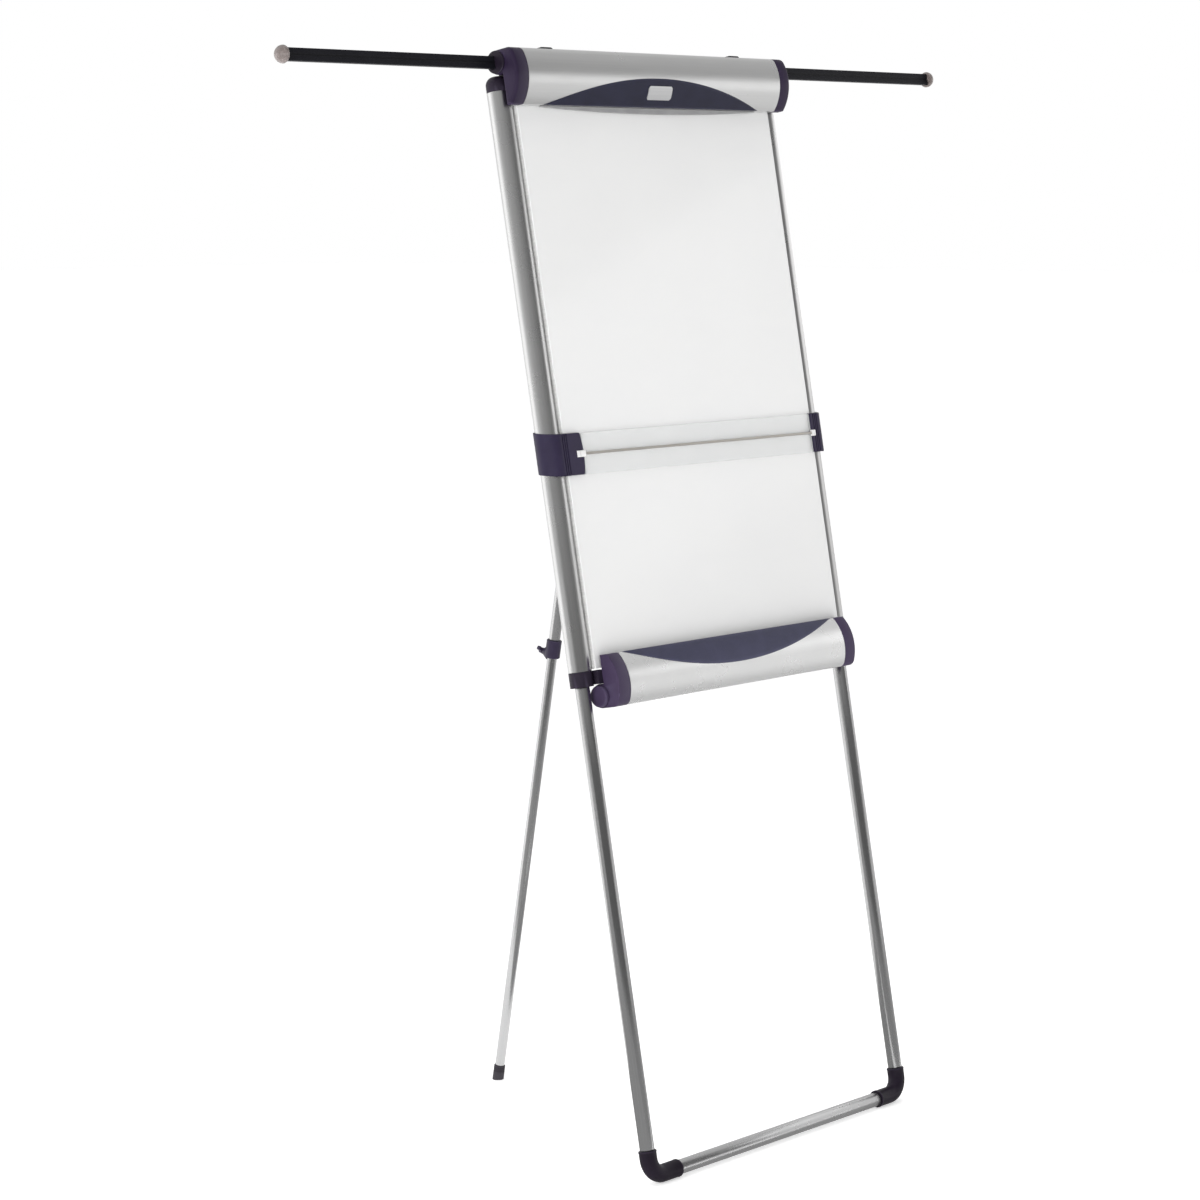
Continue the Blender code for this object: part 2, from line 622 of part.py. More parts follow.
def elbow_curve(name, radius, side, top, end_x, parent):
    """A bent bar from the leg to the bottom bar, one quarter turn."""
    bend = arc((RAIL_X - ELBOW_BEND, ELBOW_BEND), ELBOW_BEND, 0, -math.pi / 2, 8)
    route = [(RAIL_X, top)] + bend + [(end_x, 0)]
    curve = bpy.data.curves.new(name, "CURVE")
    curve.dimensions = "3D"
    curve.bevel_depth = radius
    curve.bevel_resolution = 6
    curve.use_fill_caps = True
    spline = curve.splines.new("POLY")
    spline.points.add(len(route) - 1)
    for point, (x, z) in zip(spline.points, route):
        point.co = (side * x, 0, z, 1)
    guide = bpy.data.objects.new(name + "_guide", curve)
    collection.objects.link(guide)
    mesh = evaluated_mesh(guide)
    bpy.data.objects.remove(guide)
    return smooth(place(name, mesh, PLUM, parent))


def build_leg_frame(board):
    frame = pivot("leg_frame_slide", board)
    bar_half = ELBOW_END_X - GAP
    tube("bottom_bar", LEG_RADIUS, LEG_BORE, -bar_half, bar_half, frame, ALUMINIUM, (0, 0, 0),
         TURN_TO_X)
    for side, hand in ((-1, "left"), (1, "right")):
        tube("leg_tube_" + hand, LEG_RADIUS, LEG_BORE, ELBOW_TOP + GAP, LEG_TOP, frame, ALUMINIUM,
             (side * RAIL_X, 0, 0))
        elbow = elbow_curve("leg_elbow_" + hand, ELBOW_RADIUS, side, ELBOW_TOP, ELBOW_END_X, frame)
        core = elbow_curve("core", LEG_BORE - GAP, side, ELBOW_TOP + SPIGOT, ELBOW_END_X - SPIGOT, frame)
        smooth(join(elbow, core))
        cap_radius = RAIL_BORE - GAP
        profile = [(0, 0.010), (cap_radius - 0.002, 0.010), (cap_radius, 0.008), (cap_radius, GAP),
                   (LEG_BORE - GAP, GAP), (LEG_BORE - GAP, -SPIGOT), (0, -SPIGOT)]
        turned("leg_plug_" + hand, profile, frame, PLUM, (side * RAIL_X, 0, LEG_TOP))


def knob_profile(stem_radius, stem_length, radius=0.012, thickness=0.009):
    """A round thumb knob on its screw; the stem runs down from height 0."""
    return [(0, thickness), (radius - 0.002, thickness), (radius, thickness - 0.002), (radius, 0.002),
            (radius - 0.002, 0), (stem_radius, 0), (stem_radius, -stem_length), (0, -stem_length)]


def build_leg_clamps(board):
    head = RAIL_RADIUS + 0.002
    stem = head - LEG_RADIUS - GAP
    for side, hand in ((-1, "left"), (1, "right")):
        axis = pivot("leg_clamp_axis_" + hand, board, knob_point(side, head), knob_turn(side))
        turned("leg_clamp_knob_" + hand, knob_profile(PIN_RADIUS, stem), axis, PLUM, sides=24)


# --- rear leg --------------------------------------------------------------------------------

def build_rear_leg(board):
    bpy.context.view_layer.update()
    place_of_pin = board.matrix_world @ Matrix.Translation((0, PIVOT_BACK, PIVOT_HEIGHT))
    swing = pivot("rear_leg_swing", None, place_of_pin.translation, (REAR_SPLAY, 0, 0))
    tube("rear_upper_tube", REAR_RADIUS, REAR_BORE, -REAR_TUBE_FOOT, -REAR_TUBE_TOP, swing,
         ALUMINIUM, sides=24)
    build_knuckle(swing)
    build_rear_clamp(swing)
    slide = pivot("rear_leg_slide", swing)
    tube("rear_lower_tube", REAR_LOWER_RADIUS, REAR_LOWER_BORE, -REAR_LOWER_FOOT, -REAR_LOWER_TOP,
         slide, ALUMINIUM, sides=24)
    glide = REAR_BORE - GAP / 2
    profile = [(0, 0.005), (glide - 0.001, 0.005), (glide, 0.004), (glide, GAP),
               (REAR_LOWER_BORE - GAP, GAP), (REAR_LOWER_BORE - GAP, -0.015), (0, -0.015)]
    turned("rear_tube_plug", profile, slide, PLUM, (0, 0, -REAR_LOWER_TOP), sides=24)
    build_rear_foot(slide, place_of_pin.translation.z)


def build_knuckle(swing):
    knuckle = rod("rear_knuckle", 0.011, 0.018, swing, PLUM, (0, 0, 0), TURN_TO_X)
    neck_foot = REAR_TUBE_TOP - GAP
    neck = rod("neck", REAR_RADIUS - 0.0015, neck_foot, swing, PLUM, (0, 0, -neck_foot / 2))
    plug_foot = REAR_TUBE_TOP + SPIGOT
    plug = rod("plug", REAR_BORE - GAP, plug_foot - 0.02, swing, PLUM, (0, 0, -(plug_foot + 0.02) / 2))
    hole = rod("hole", PIN_RADIUS + GAP, 0.04, swing, PLUM, (0, 0, 0), TURN_TO_X, 16)
    join(knuckle, neck, plug)
    smooth(cut(knuckle, hole))


def build_rear_clamp(swing):
    """The collar on the upper tube's foot, with a boss and a thumb knob pointing back."""
    middle = (CLAMP_TOP + CLAMP_FOOT) / 2
    clamp = rod("rear_clamp", CLAMP_RADIUS, CLAMP_FOOT - CLAMP_TOP, swing, PLUM, (0, 0, -middle))
    knob_height = -(REAR_TUBE_FOOT + CLAMP_FOOT) / 2
    boss = rod("boss", CLAMP_BOSS_RADIUS, CLAMP_BOSS_LENGTH, swing, PLUM,
               (0, CLAMP_BOSS_LENGTH / 2, knob_height), TURN_TO_Y, 24)
    join(clamp, boss)
    step = REAR_TUBE_FOOT + GAP
    upper = rod("upper", REAR_RADIUS + GAP, step - CLAMP_TOP + 0.02, swing, PLUM,
                (0, 0, -(step + CLAMP_TOP - 0.02) / 2))
    lower = rod("lower", REAR_LOWER_RADIUS + GAP, 0.1, swing, PLUM, (0, 0, -middle))
    hole = rod("hole", PIN_RADIUS + GAP, 0.06, swing, PLUM, (0, 0.03, knob_height), TURN_TO_Y, 16)
    smooth(cut(clamp, upper, lower, hole))
    head = CLAMP_BOSS_LENGTH + 0.001
    axis = pivot("rear_clamp_axis", swing, (0, head, knob_height), (-math.pi / 2, 0, 0))
    stem = head - REAR_LOWER_RADIUS - GAP
    turned("rear_clamp_knob", knob_profile(PIN_RADIUS, stem, 0.010, 0.008), axis, PLUM, sides=24)


def build_rear_foot(slide, pivot_z):
    """A rubber foot, cut level with the floor."""
    floor = pivot_z / math.cos(REAR_SPLAY)
    top = REAR_LOWER_FOOT + GAP
    foot = rod("rear_foot", REAR_RADIUS, floor + 0.02 - top, slide, RUBBER,
               (0, 0, -(floor + 0.02 + top) / 2))
    plug = rod("plug", REAR_LOWER_BORE - GAP, SPIGOT, slide, RUBBER, (0, 0, 0.010 - top))
    ground = box("ground", (-0.1, 0.0, -0.2), (0.1, 1.0, 0.0), None, RUBBER)
    join(foot, plug)
    smooth(cut(foot, ground))


# --- display arms ----------------------------------------------------------------------------

def build_arms(channel_axis):
    bar_end = ARM_TIP - ARM_DOME - GAP
    for side, hand in ((-1, "left"), (1, "right")):
        slide = pivot("arm_slide_" + hand, channel_axis, (0, -side * ARM_OFFSET, 0))
        half_depth = ARM_DEPTH / 2
        low_x, high_x = sorted((side * ARM_INNER, side * bar_end))
        box("arm_bar_" + hand, (low_x, -half_depth, -ARM_TALL / 2), (high_x, half_depth, ARM_TALL / 2),
            slide, BLACK)
        stop_outer = ARM_INNER - GAP
        low_x, high_x = sorted((side * (stop_outer - STOP_LENGTH), side * stop_outer))
        box("arm_stop_" + hand, (low_x, -half_depth, -STOP_TALL / 2),
            (high_x, half_depth, STOP_TALL / 2), slide, PLUM)
        dome = [(radius, height) for height, radius in arc((0, 0), ARM_DOME, 0, math.pi / 2, 8)]
        dome[0] = (0, ARM_DOME)
        turned("arm_tip_" + hand, dome + [(0, 0)], slide, SMOKE, (side * (ARM_TIP - ARM_DOME), 0, 0),
               (0, side * math.pi / 2, 0))


# --- sliding rule ----------------------------------------------------------------------------

def bracket_outline(side, inner_x):
    """A clip round the rail's outer side with a flange over the board to inner_x, as (x, back)."""
    inner_radius = RAIL_RADIUS + 0.0004
    side_radius = inner_radius + BRACKET_WALL
    steps = 16
    outer = []
    for i in range(steps + 1):
        angle = math.pi / 2 + math.pi * 0.95 * i / steps
        bulge = max(0.0, math.sin(angle)) ** 4
        radius = side_radius + (BRACKET_FRONT - side_radius) * bulge
        outer.append((radius * math.cos(angle), radius * math.sin(angle)))
    inner = arc((0, 0), inner_radius, math.pi * 1.45, math.pi / 2, steps)
    reach = RAIL_X - inner_x
    shape = outer + inner + [(0.002, BRACKET_BACK), (reach, BRACKET_BACK), (reach, BRACKET_FRONT)]
    return [(side * (RAIL_X - x), -forward) for x, forward in shape]


def build_rule(board):
    slide = pivot("rule_slide", board, (0, 0, RULE_HEIGHT))
    half = RULE_TALL / 2
    box("rule_plate", (GAP - BRACKET_INNER_LEFT, -RULE_FRONT, -half),
        (BRACKET_INNER_RIGHT - GAP, -RULE_BACK, half), slide, CLEAR)
    rod_low = CLIP_PROUD + GAP - BRACKET_INNER_LEFT
    rod_high = BRACKET_INNER_RIGHT - CLIP_PROUD - GAP
    rod("rule_rod", ROD_RADIUS, rod_high - rod_low, slide, STEEL,
        ((rod_low + rod_high) / 2, -RULE_FRONT - 0.0027, 0), TURN_TO_X, 16)
    clip_back = RULE_FRONT + GAP
    for side, hand, inner_x, clip_reach in ((-1, "left", BRACKET_INNER_LEFT, 0.018),
                                            (1, "right", BRACKET_INNER_RIGHT, 0.008)):
        bracket = extruded("rule_bracket_" + hand, [bracket_outline(side, inner_x)], RULE_TALL,
                           slide, PLUM)
        clip_outer = inner_x + clip_reach
        low_x, high_x = sorted((side * (clip_outer + GAP), side * (inner_x - 0.01)))
        notch = box("notch", (low_x, -OVERSHOOT, -CLIP_HALF - GAP),
                    (high_x, GAP - clip_back, CLIP_HALF + GAP), slide, PLUM)
        smooth(cut(bracket, notch))
        low_x, high_x = sorted((side * clip_outer, side * (inner_x - CLIP_PROUD)))
        box("rule_clip_" + hand, (low_x, -BRACKET_FRONT - 0.0020, -CLIP_HALF),
            (high_x, -clip_back, CLIP_HALF), slide, CLIP)


# --- the easel -------------------------------------------------------------------------------

board_plane = pivot("board_plane", None, (0, BAR_Y, BAR_HEIGHT), (-LEAN, 0, 0))
for rail_side, rail_hand in ((-1, "left"), (1, "right")):
    build_rail("rail_" + rail_hand, rail_side, board_plane)
    build_rail_cap("rail_cap_" + rail_hand, rail_side, board_plane)
    build_collar("leg_collar_" + rail_hand, rail_side, board_plane)
build_crossbar(board_plane)
build_board(board_plane)
build_tray(board_plane)
build_arms(build_channel(board_plane))
build_hinge_bracket(board_plane)
build_header(board_plane)
build_leg_frame(board_plane)
build_leg_clamps(board_plane)
build_rear_leg(board_plane)
build_rule(board_plane)
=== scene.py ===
"""Looks for the flipchart easel: detailed pieces, finishes, floor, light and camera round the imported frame.

Board coordinates: X to the right, Y to the back of the board, Z up along the rails. Sections are drawn as
(forward, up) and run along X. Rear-leg coordinates have Z up along that leg, from its pivot.
"""

import contextlib
import json
from math import acos, asin, atan2, cos, dist, pi, radians, sin, sqrt, tan

import bmesh
import bpy
from mathutils import Matrix, Vector


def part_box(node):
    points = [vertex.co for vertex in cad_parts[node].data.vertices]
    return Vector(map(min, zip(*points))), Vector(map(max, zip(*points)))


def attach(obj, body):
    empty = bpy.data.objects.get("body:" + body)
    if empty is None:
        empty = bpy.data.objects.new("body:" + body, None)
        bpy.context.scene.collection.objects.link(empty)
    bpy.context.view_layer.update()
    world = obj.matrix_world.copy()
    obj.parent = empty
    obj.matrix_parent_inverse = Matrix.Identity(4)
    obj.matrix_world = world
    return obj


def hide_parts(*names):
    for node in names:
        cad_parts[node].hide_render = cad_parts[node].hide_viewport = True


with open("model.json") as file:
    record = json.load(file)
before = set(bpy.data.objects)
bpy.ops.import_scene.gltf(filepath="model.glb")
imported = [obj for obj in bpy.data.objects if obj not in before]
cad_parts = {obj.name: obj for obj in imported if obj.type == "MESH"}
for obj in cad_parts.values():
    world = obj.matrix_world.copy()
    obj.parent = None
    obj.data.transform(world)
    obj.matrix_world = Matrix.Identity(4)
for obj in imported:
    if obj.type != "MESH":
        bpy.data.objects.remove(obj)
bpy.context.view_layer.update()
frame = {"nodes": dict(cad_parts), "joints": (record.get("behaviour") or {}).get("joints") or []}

SIDES = ((-1, "left"), (1, "right"))
GAP = 0.0003
SHARP = 32
ROUND = 64

# Turns to board coordinates: a (forward, up) section run along X, an (x, up) outline, a lathed shape along X.
SECTION = Matrix(((0, 0, -1), (-1, 0, 0), (0, 1, 0))).to_4x4()
UPRIGHT = Matrix(((1, 0, 0), (0, 0, -1), (0, 1, 0))).to_4x4()
TOWARDS = {side: Matrix.Rotation(side * pi / 2, 4, "Y") for side, hand in SIDES}
ALONG_X = TOWARDS[1]

# The section that the header and the tray share, in metres.
BOSS_RADIUS = 0.0205
SECTION_BACK = 0.0085
BOW_RADIUS = 0.0785
BOW_DEPTH = 0.0425
BOW_HEIGHT = 0.018
CORNER_RADIUS = 0.014
SKIN = 0.0018
HEM = [(-0.004, -BOSS_RADIUS), (-0.004, SKIN - BOSS_RADIUS)]

RAIL_BORE = 0.0145
LEG_WALL = 0.0015
LEG_SIDES = 72

# How much the rule brackets' ends rise for each metre towards the back.
BRACKET_SLANT = 0.2


# --- where things are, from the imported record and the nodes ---

joints = {joint["name"]: joint for joint in frame["joints"]}
rail_way = joints["leg_height_slide"]["axis"]
leg_way = joints["rear_leg_slide"]["axis"]
bar_low, bar_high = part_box("bottom_bar")
BOARD = (Matrix.Translation((bar_low + bar_high) / 2)
         @ Matrix.Rotation(-atan2(rail_way[1], rail_way[2]), 4, "X"))
REAR = (Matrix.Translation(joints["rear_leg_hinge"]["pos_m"])
        @ Matrix.Rotation(atan2(-leg_way[1], leg_way[2]), 4, "X"))


def span(node, basis=BOARD):
    """Lowest and highest corner of a CAD node in the board's or the rear leg's coordinates."""
    inverse = basis.inverted()
    points = [inverse @ vertex.co for vertex in frame["nodes"][node].data.vertices]
    return Vector(map(min, zip(*points))), Vector(map(max, zip(*points)))


def middle(node, basis=BOARD):
    low, high = span(node, basis)
    return (low + high) / 2


def moved(basis, x=0, y=0, z=0):
    return basis @ Matrix.Translation((x, y, z))


header_at = BOARD.inverted() @ Vector(joints["header_hinge"]["pos_m"])
tray_at = middle("tray_plug_left")
HEADER = moved(BOARD, 0, header_at.y, header_at.z)
TRAY = moved(BOARD, 0, tray_at.y, tray_at.z)
HEADER_REACH = -span("header_cap_left", HEADER)[0].z
TRAY_REACH = span("tray_cap_left", TRAY)[1].z


# --- finishes ---

class Nodes:
    """A node tree whose nodes are made and wired in one call."""

    def __init__(self, tree):
        self.tree = tree

    def feed(self, socket, value):
        if isinstance(value, bpy.types.NodeSocket):
            self.tree.links.new(value, socket)
        else:
            socket.default_value = value

    def node(self, kind, *ordered, **named):
        made = self.tree.nodes.new("ShaderNode" + kind)
        for slot, value in enumerate(ordered):
            self.feed(made.inputs[slot], value)
        for socket, value in named.items():
            self.feed(made.inputs[socket.replace("_", " ")], value)
        return made

    def between(self, value, low, high, start=0.3, end=0.7):
        return self.node("MapRange", value, start, end, low, high).outputs[0]

    def tint(self, value, first, second, start=0.3, end=0.7):
        """From one colour to another as a value goes from start to end."""
        made = self.node("Mix")
        made.data_type = "RGBA"
        self.feed(made.inputs[0], self.between(value, 0, 1, start, end))
        for slot, colour in ((6, first), (7, second)):
            self.feed(made.inputs[slot], (*colour, 1) if isinstance(colour, tuple) else colour)
        return made.outputs[2]


class Finish(Nodes):
    """A Principled material with procedural layers on its object's own coordinates."""

    def __init__(self, name, **constants):
        self.material = bpy.data.materials.new(name)
        self.material.use_nodes = True
        super().__init__(self.material.node_tree)
        self.shader = self.tree.nodes["Principled BSDF"]
        self.wire(**constants)
        self.coords = self.node("TexCoord").outputs["Object"]

    def wire(self, **sockets):
        for socket, value in sockets.items():
            self.feed(self.shader.inputs[socket.replace("_", " ")], value)
        return self.material

    def noise(self, scale, detail=3, stretch=(1, 1, 1), rough=0.5, distort=0):
        scaled = self.node("Mapping", Vector=self.coords, Scale=stretch)
        made = self.node("TexNoise", Vector=scaled.outputs[0], Scale=scale, Detail=detail, Roughness=rough,
                         Distortion=distort)
        return made.outputs["Fac"]

    def bump(self, *layers):
        """Bumps of (height, depth in metres), each on top of the one before."""
        normal = {}
        for height, depth in layers:
            made = self.node("Bump", Height=height, Strength=1, Distance=depth, **normal)
            normal = {"Normal": made.outputs[0]}
        self.wire(**normal)


def drawn_metal(name, dark, light, along, rough, metallic=1):
    """Satin anodised metal with fine lines along local X or Z and a faint mottling."""
    look = Finish(name, Metallic=metallic)
    line = (1, 420, 420) if along == "X" else (420, 420, 1)
    lines = look.noise(3, 5, line, 0.6)
    cloud = look.noise(14, 3)
    speck = look.noise(1900, 2)
    base = look.tint(lines, dark, light)
    tone = look.tint(cloud, base, look.tint(speck, dark, light), 0.2, 0.95)
    look.bump((lines, 0.00003), (speck, 0.000012))
    return look.wire(Base_Color=tone, Roughness=look.between(cloud, rough, rough + 0.06))


def moulded(name, dark, light, edge_highlight_and_wear, rough, specular=0.45, grain=2300, coat=0):
    """Moulded plastic: fine spark-eroded grain, faint flow marks and slightly paler sharp edges, a painted
    edge highlight along with edge wear.
    """
    look = Finish(name, Coat_Weight=coat, Coat_Roughness=0.35, Specular_IOR_Level=specular)
    flow = look.noise(26, 4, distort=0.6)
    pits = look.noise(grain, 2)
    cells = look.node("TexVoronoi", Vector=look.coords, Scale=grain * 0.7).outputs["Distance"]
    tone = look.tint(pits, look.tint(flow, dark, light), light, 0.45, 1)
    if edge_highlight_and_wear:
        # Paler sharp edges found by pointiness: a painted edge highlight, along with edge wear.
        edge_highlight_mask = look.between(look.node("NewGeometry").outputs["Pointiness"], 0, 1, 0.515, 0.6)
        tone = look.tint(edge_highlight_mask, tone, edge_highlight_and_wear, 0, 1.3)
    look.bump((pits, 0.00006), (cells, 0.00003))
    return look.wire(Base_Color=tone, Roughness=look.between(flow, rough - 0.04, rough + 0.06))


def enamel():
    """Glossy whiteboard enamel with a faint wipe haze and orange peel."""
    look = Finish("whiteboard_enamel_look", Coat_Weight=0.35, Coat_Roughness=0.06, Specular_IOR_Level=0.5)
    wiped = look.noise(5, 5, (1, 1, 2.6), 0.62, 0.8)
    cloud = look.noise(2.2, 2)
    peel = look.noise(260, 2)
    colour = look.tint(wiped, (0.8, 0.802, 0.804), (0.826, 0.826, 0.822))
    hazed = look.tint(cloud, colour, (0.836, 0.836, 0.832))
    look.bump((peel, 0.00002), (wiped, 0.00002))
    return look.wire(Base_Color=hazed, Roughness=look.between(wiped, 0.14, 0.26))


def clear_plastic(name, alpha, tone):
    """Clear acrylic: a thin film with faint scratches; a pale tone whitens it slightly, a painted reflection
    of the bright surroundings.
    """
    look = Finish(name, Alpha=alpha, Specular_IOR_Level=0.6, Coat_Weight=0.5, Coat_Roughness=0.04)
    scratch = look.noise(40, 6, (1, 1, 9), 0.7)
    cloud = look.noise(9, 2)
    look.bump((scratch, 0.00001))
    return look.wire(Base_Color=look.tint(cloud, tone, tuple(min(1, c * 1.04) for c in tone)),
                       Roughness=look.between(scratch, 0.05, 0.14))


def smoked():
    """Smoky translucent plastic for the arm tips."""
    look = Finish("smoked_dome_look", Coat_Weight=0.4, Coat_Roughness=0.12, Transmission_Weight=0.25)
    cloud = look.noise(130, 3, distort=0.5)
    pits = look.noise(1800, 2)
    look.bump((pits, 0.00004))
    return look.wire(Base_Color=look.tint(cloud, (0.2, 0.165, 0.155), (0.31, 0.265, 0.255)),
                       Roughness=look.between(cloud, 0.28, 0.42))


def card_edge():
    """The panel's pale edge band, with the fine ribs of the core under it; on the face sheet's sides its grey
    is painted shade.
    """
    look = Finish("board_core_and_side_shade_look", Specular_IOR_Level=0.35)
    ribs = look.noise(4, 3, (1, 1, 90))
    fleck = look.noise(900, 3)
    look.bump((ribs, 0.0001), (fleck, 0.00005))
    return look.wire(Base_Color=look.tint(ribs, (0.6, 0.6, 0.595), (0.72, 0.72, 0.71)),
                       Roughness=look.between(fleck, 0.45, 0.6))


RAIL_METAL = drawn_metal("satin_aluminium_rail", (0.58, 0.58, 0.58), (0.68, 0.68, 0.675), "Z", 0.26)
LEG_METAL = drawn_metal("satin_aluminium_leg", (0.44, 0.44, 0.445), (0.53, 0.53, 0.53), "Z", 0.2)
BAR_METAL = drawn_metal("satin_aluminium_bar", (0.55, 0.55, 0.555), (0.66, 0.66, 0.66), "X", 0.24)
REAR_METAL = drawn_metal("satin_aluminium_rear", (0.48, 0.48, 0.485), (0.58, 0.58, 0.58), "Z", 0.22)
SILVER = drawn_metal("silver_shell_look", (0.61, 0.61, 0.61), (0.68, 0.68, 0.675), "X", 0.27, 0.88)
# The tray's silver is a lighter copy of the header's silver: painted light, for the tray catching more light.
TRAY_SILVER_LIT_COPY = drawn_metal("silver_tray_lit_copy", (0.76, 0.76, 0.76), (0.82, 0.82, 0.815), "X", 0.25, 0.72)
BADGE = drawn_metal("badge_look", (0.52, 0.52, 0.53), (0.66, 0.66, 0.66), "X", 0.3, 0.9)
STEEL = drawn_metal("zinc_steel_look", (0.5, 0.47, 0.43), (0.63, 0.6, 0.56), "X", 0.3)

# Each plastic has a dark, a light and a paler edge tone (painted edge highlight along with wear), then its
# roughness, specular level and grain.
PLUM = moulded("plum_plastic_look", (0.02, 0.014, 0.035), (0.028, 0.02, 0.048), (0.075, 0.062, 0.11),
               0.42, 0.32)
BRACKET_PLUM = moulded("plum_bracket_look", (0.022, 0.017, 0.04), (0.03, 0.023, 0.054), None, 0.42, 0.22)
# The tray caps' plum is a lighter copy of the cap plastic: painted light on the tray's end caps.
TRAY_PLUM_LIT_COPY = moulded("plum_tray_cap_lit_copy", (0.046, 0.031, 0.068), (0.056, 0.039, 0.083), (0.095, 0.078, 0.14),
                    0.42, 0.22)
AUBERGINE = moulded("plum_plastic_dark", (0.01, 0.007, 0.013), (0.016, 0.011, 0.021), (0.045, 0.036, 0.06),
                    0.44, 0.19)
CAP_PLUM = moulded("plum_header_cap", (0.017, 0.01, 0.029), (0.025, 0.015, 0.041), (0.06, 0.045, 0.09),
                   0.44, 0.24)
NAVY = moulded("navy_insert_look", (0.013, 0.013, 0.028), (0.02, 0.02, 0.042), (0.05, 0.05, 0.08),
               0.4, 0.16, 3200)
# The tray inlay's navy is a lighter copy of the header inlay's: painted light on the upward-facing tray
# insert.
TRAY_NAVY_LIT_COPY = moulded("navy_tray_lit_copy", (0.042, 0.042, 0.078), (0.056, 0.056, 0.104), (0.09, 0.09, 0.15),
                    0.4, 0.22, 3200)
BLACK = moulded("black_bar_look", (0.004, 0.004, 0.005), (0.007, 0.007, 0.009), (0.02, 0.02, 0.03),
                0.42, 0.12, 1600)
WHITE_CLIP = moulded("white_clip_look", (0.78, 0.77, 0.77), (0.86, 0.85, 0.85), (0.92, 0.92, 0.91),
                     0.34, 0.45, 1500, 0.2)
# The lip's grey is painted shade: the header's silver lower edge in shadow.
SHADED_LIP_GREY = moulded("lip_painted_shade_look", (0.25, 0.25, 0.255), (0.33, 0.33, 0.335), (0.42, 0.42, 0.42),
                   0.56, 0.45, 900)
RUBBER = moulded("rubber_look", (0.02, 0.017, 0.024), (0.034, 0.029, 0.038), (0.06, 0.055, 0.065),
                 0.74, 0.45, 700)
ENAMEL = enamel()
CORE_AND_SIDE_SHADE = card_edge()
# The plate's near-white tone is a painted reflection: it whitens the clear plate as glare would.
CLEAR = clear_plastic("clear_acrylic_look", 0.28, (0.93, 0.94, 0.94))
CLEAR_EDGE = clear_plastic("clear_acrylic_edge", 0.62, (0.55, 0.57, 0.57))
SMOKE = smoked()


# --- building blocks ---

def linked(name, data):
    made = bpy.data.objects.new(name, data)
    bpy.context.scene.collection.objects.link(made)
    return made


def soften(made, width, angle=SHARP):
    """A small bevel on every edge sharper than an angle in degrees."""
    edges = made.modifiers.new("edges", "BEVEL")
    edges.width = width
    edges.segments = 3
    edges.limit_method = "ANGLE"
    edges.angle_limit = radians(angle)
    edges.harden_normals = True


def add(name, mesh, basis, finish, angle=SHARP, bevel=0):
    """A mesh as an object in the given coordinates, smooth but for its sharp edges, which may be softened."""
    made = linked(name, mesh)
    made.matrix_world = basis
    made.data.materials.clear()
    made.data.materials.append(finish)
    mesh.shade_smooth()
    mesh.set_sharp_from_angle(angle=radians(angle))
    if bevel:
        soften(made, bevel, angle)
    return made


def piece(name, mesh, basis, finish, body, node, angle=SHARP, bevel=0):
    """A piece that rides on a body, takes its finish from a material slot and stands for a CAD node."""
    made = add(name, mesh, basis, finish, angle, bevel)
    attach(made, body)
    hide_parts(node)
    return made


def recoat(made, finish, chosen):
    """Gives a second finish to the faces whose normals are chosen."""
    made.data.materials.append(finish)
    for face in made.data.polygons:
        if chosen(face.normal):
            face.material_index = 1


@contextlib.contextmanager
def opened(mesh):
    """A mesh open for work; at the end its faces are turned outwards."""
    work = bmesh.new()
    work.from_mesh(mesh)
    yield work
    bmesh.ops.recalc_face_normals(work, faces=work.faces)
    work.to_mesh(mesh)
    work.free()


def solid(verts, faces):
    mesh = bpy.data.meshes.new("solid")
    mesh.from_pydata([tuple(v) for v in verts], [], faces)
    with opened(mesh):
        pass
    return mesh


def lathe(profile, sides=ROUND, wave=None, turn=None):
    """Turned about local Z. The (radius, height) profile is a closed loop, or runs from axis to axis."""
    verts, rings, faces = [], [], []
    for radius, height in profile:
        if radius == 0:
            rings.append([len(verts)] * sides)
            verts.append((0, 0, height))
            continue
        rings.append(list(range(len(verts), len(verts) + sides)))
        for i in range(sides):
            angle = 2 * pi * i / sides
            reach = radius * (1 + wave(angle, height)) if wave else radius
            verts.append((reach * cos(angle), reach * sin(angle), height))
    loop = rings + rings[:1] if profile[0][0] > 0 else rings
    for low, high in zip(loop, loop[1:]):
        for i in range(sides):
            j = (i + 1) % sides
            corners = list(dict.fromkeys((low[i], low[j], high[j], high[i])))
            if len(corners) > 2:
                faces.append(corners)
    mesh = solid(verts, faces)
    if turn:
        mesh.transform(turn)
    return mesh


def loft(rings):
    """A closed solid through rings of the same number of points."""
    count = len(rings[0])
    verts = [point for ring in rings for point in ring]
    faces = [list(range(count))[::-1], list(range(len(verts) - count, len(verts)))]
    for k in range(len(rings) - 1):
        for i in range(count):
            j = (i + 1) % count
            faces.append([k * count + i, k * count + j, (k + 1) * count + j, (k + 1) * count + i])
    return solid(verts, faces)


def arc(centre, radius, start, end, steps):
    turn = (end - start) / steps
    return [(centre[0] + radius * cos(start + turn * i), centre[1] + radius * sin(start + turn * i))
            for i in range(steps + 1)]


def circle(centre, radius):
    return arc(centre, radius, 0, 2 * pi * (1 - 1 / ROUND), ROUND - 1)


def rounded(corners, radius, steps=5):
    """An outline with each corner rounded off; a corner may carry its own radius as a third number."""
    outline = []
    count = len(corners)
    for i, corner in enumerate(corners):
        here = Vector(corner[:2])
        before, after = Vector(corners[i - 1][:2]), Vector(corners[(i + 1) % count][:2])
        size = corner[2] if len(corner) > 2 else radius
        if size == 0:
            outline.append(tuple(here))
            continue
        first, second = (before - here).normalized(), (after - here).normalized()
        half = first.angle(second) / 2
        cut = min(size / tan(half), (before - here).length * 0.48, (after - here).length * 0.48)
        for k in range(steps + 1):
            t = k / steps
            point = here + first * cut * (1 - t) ** 2 + second * cut * t ** 2
            outline.append(tuple(point))
    return outline


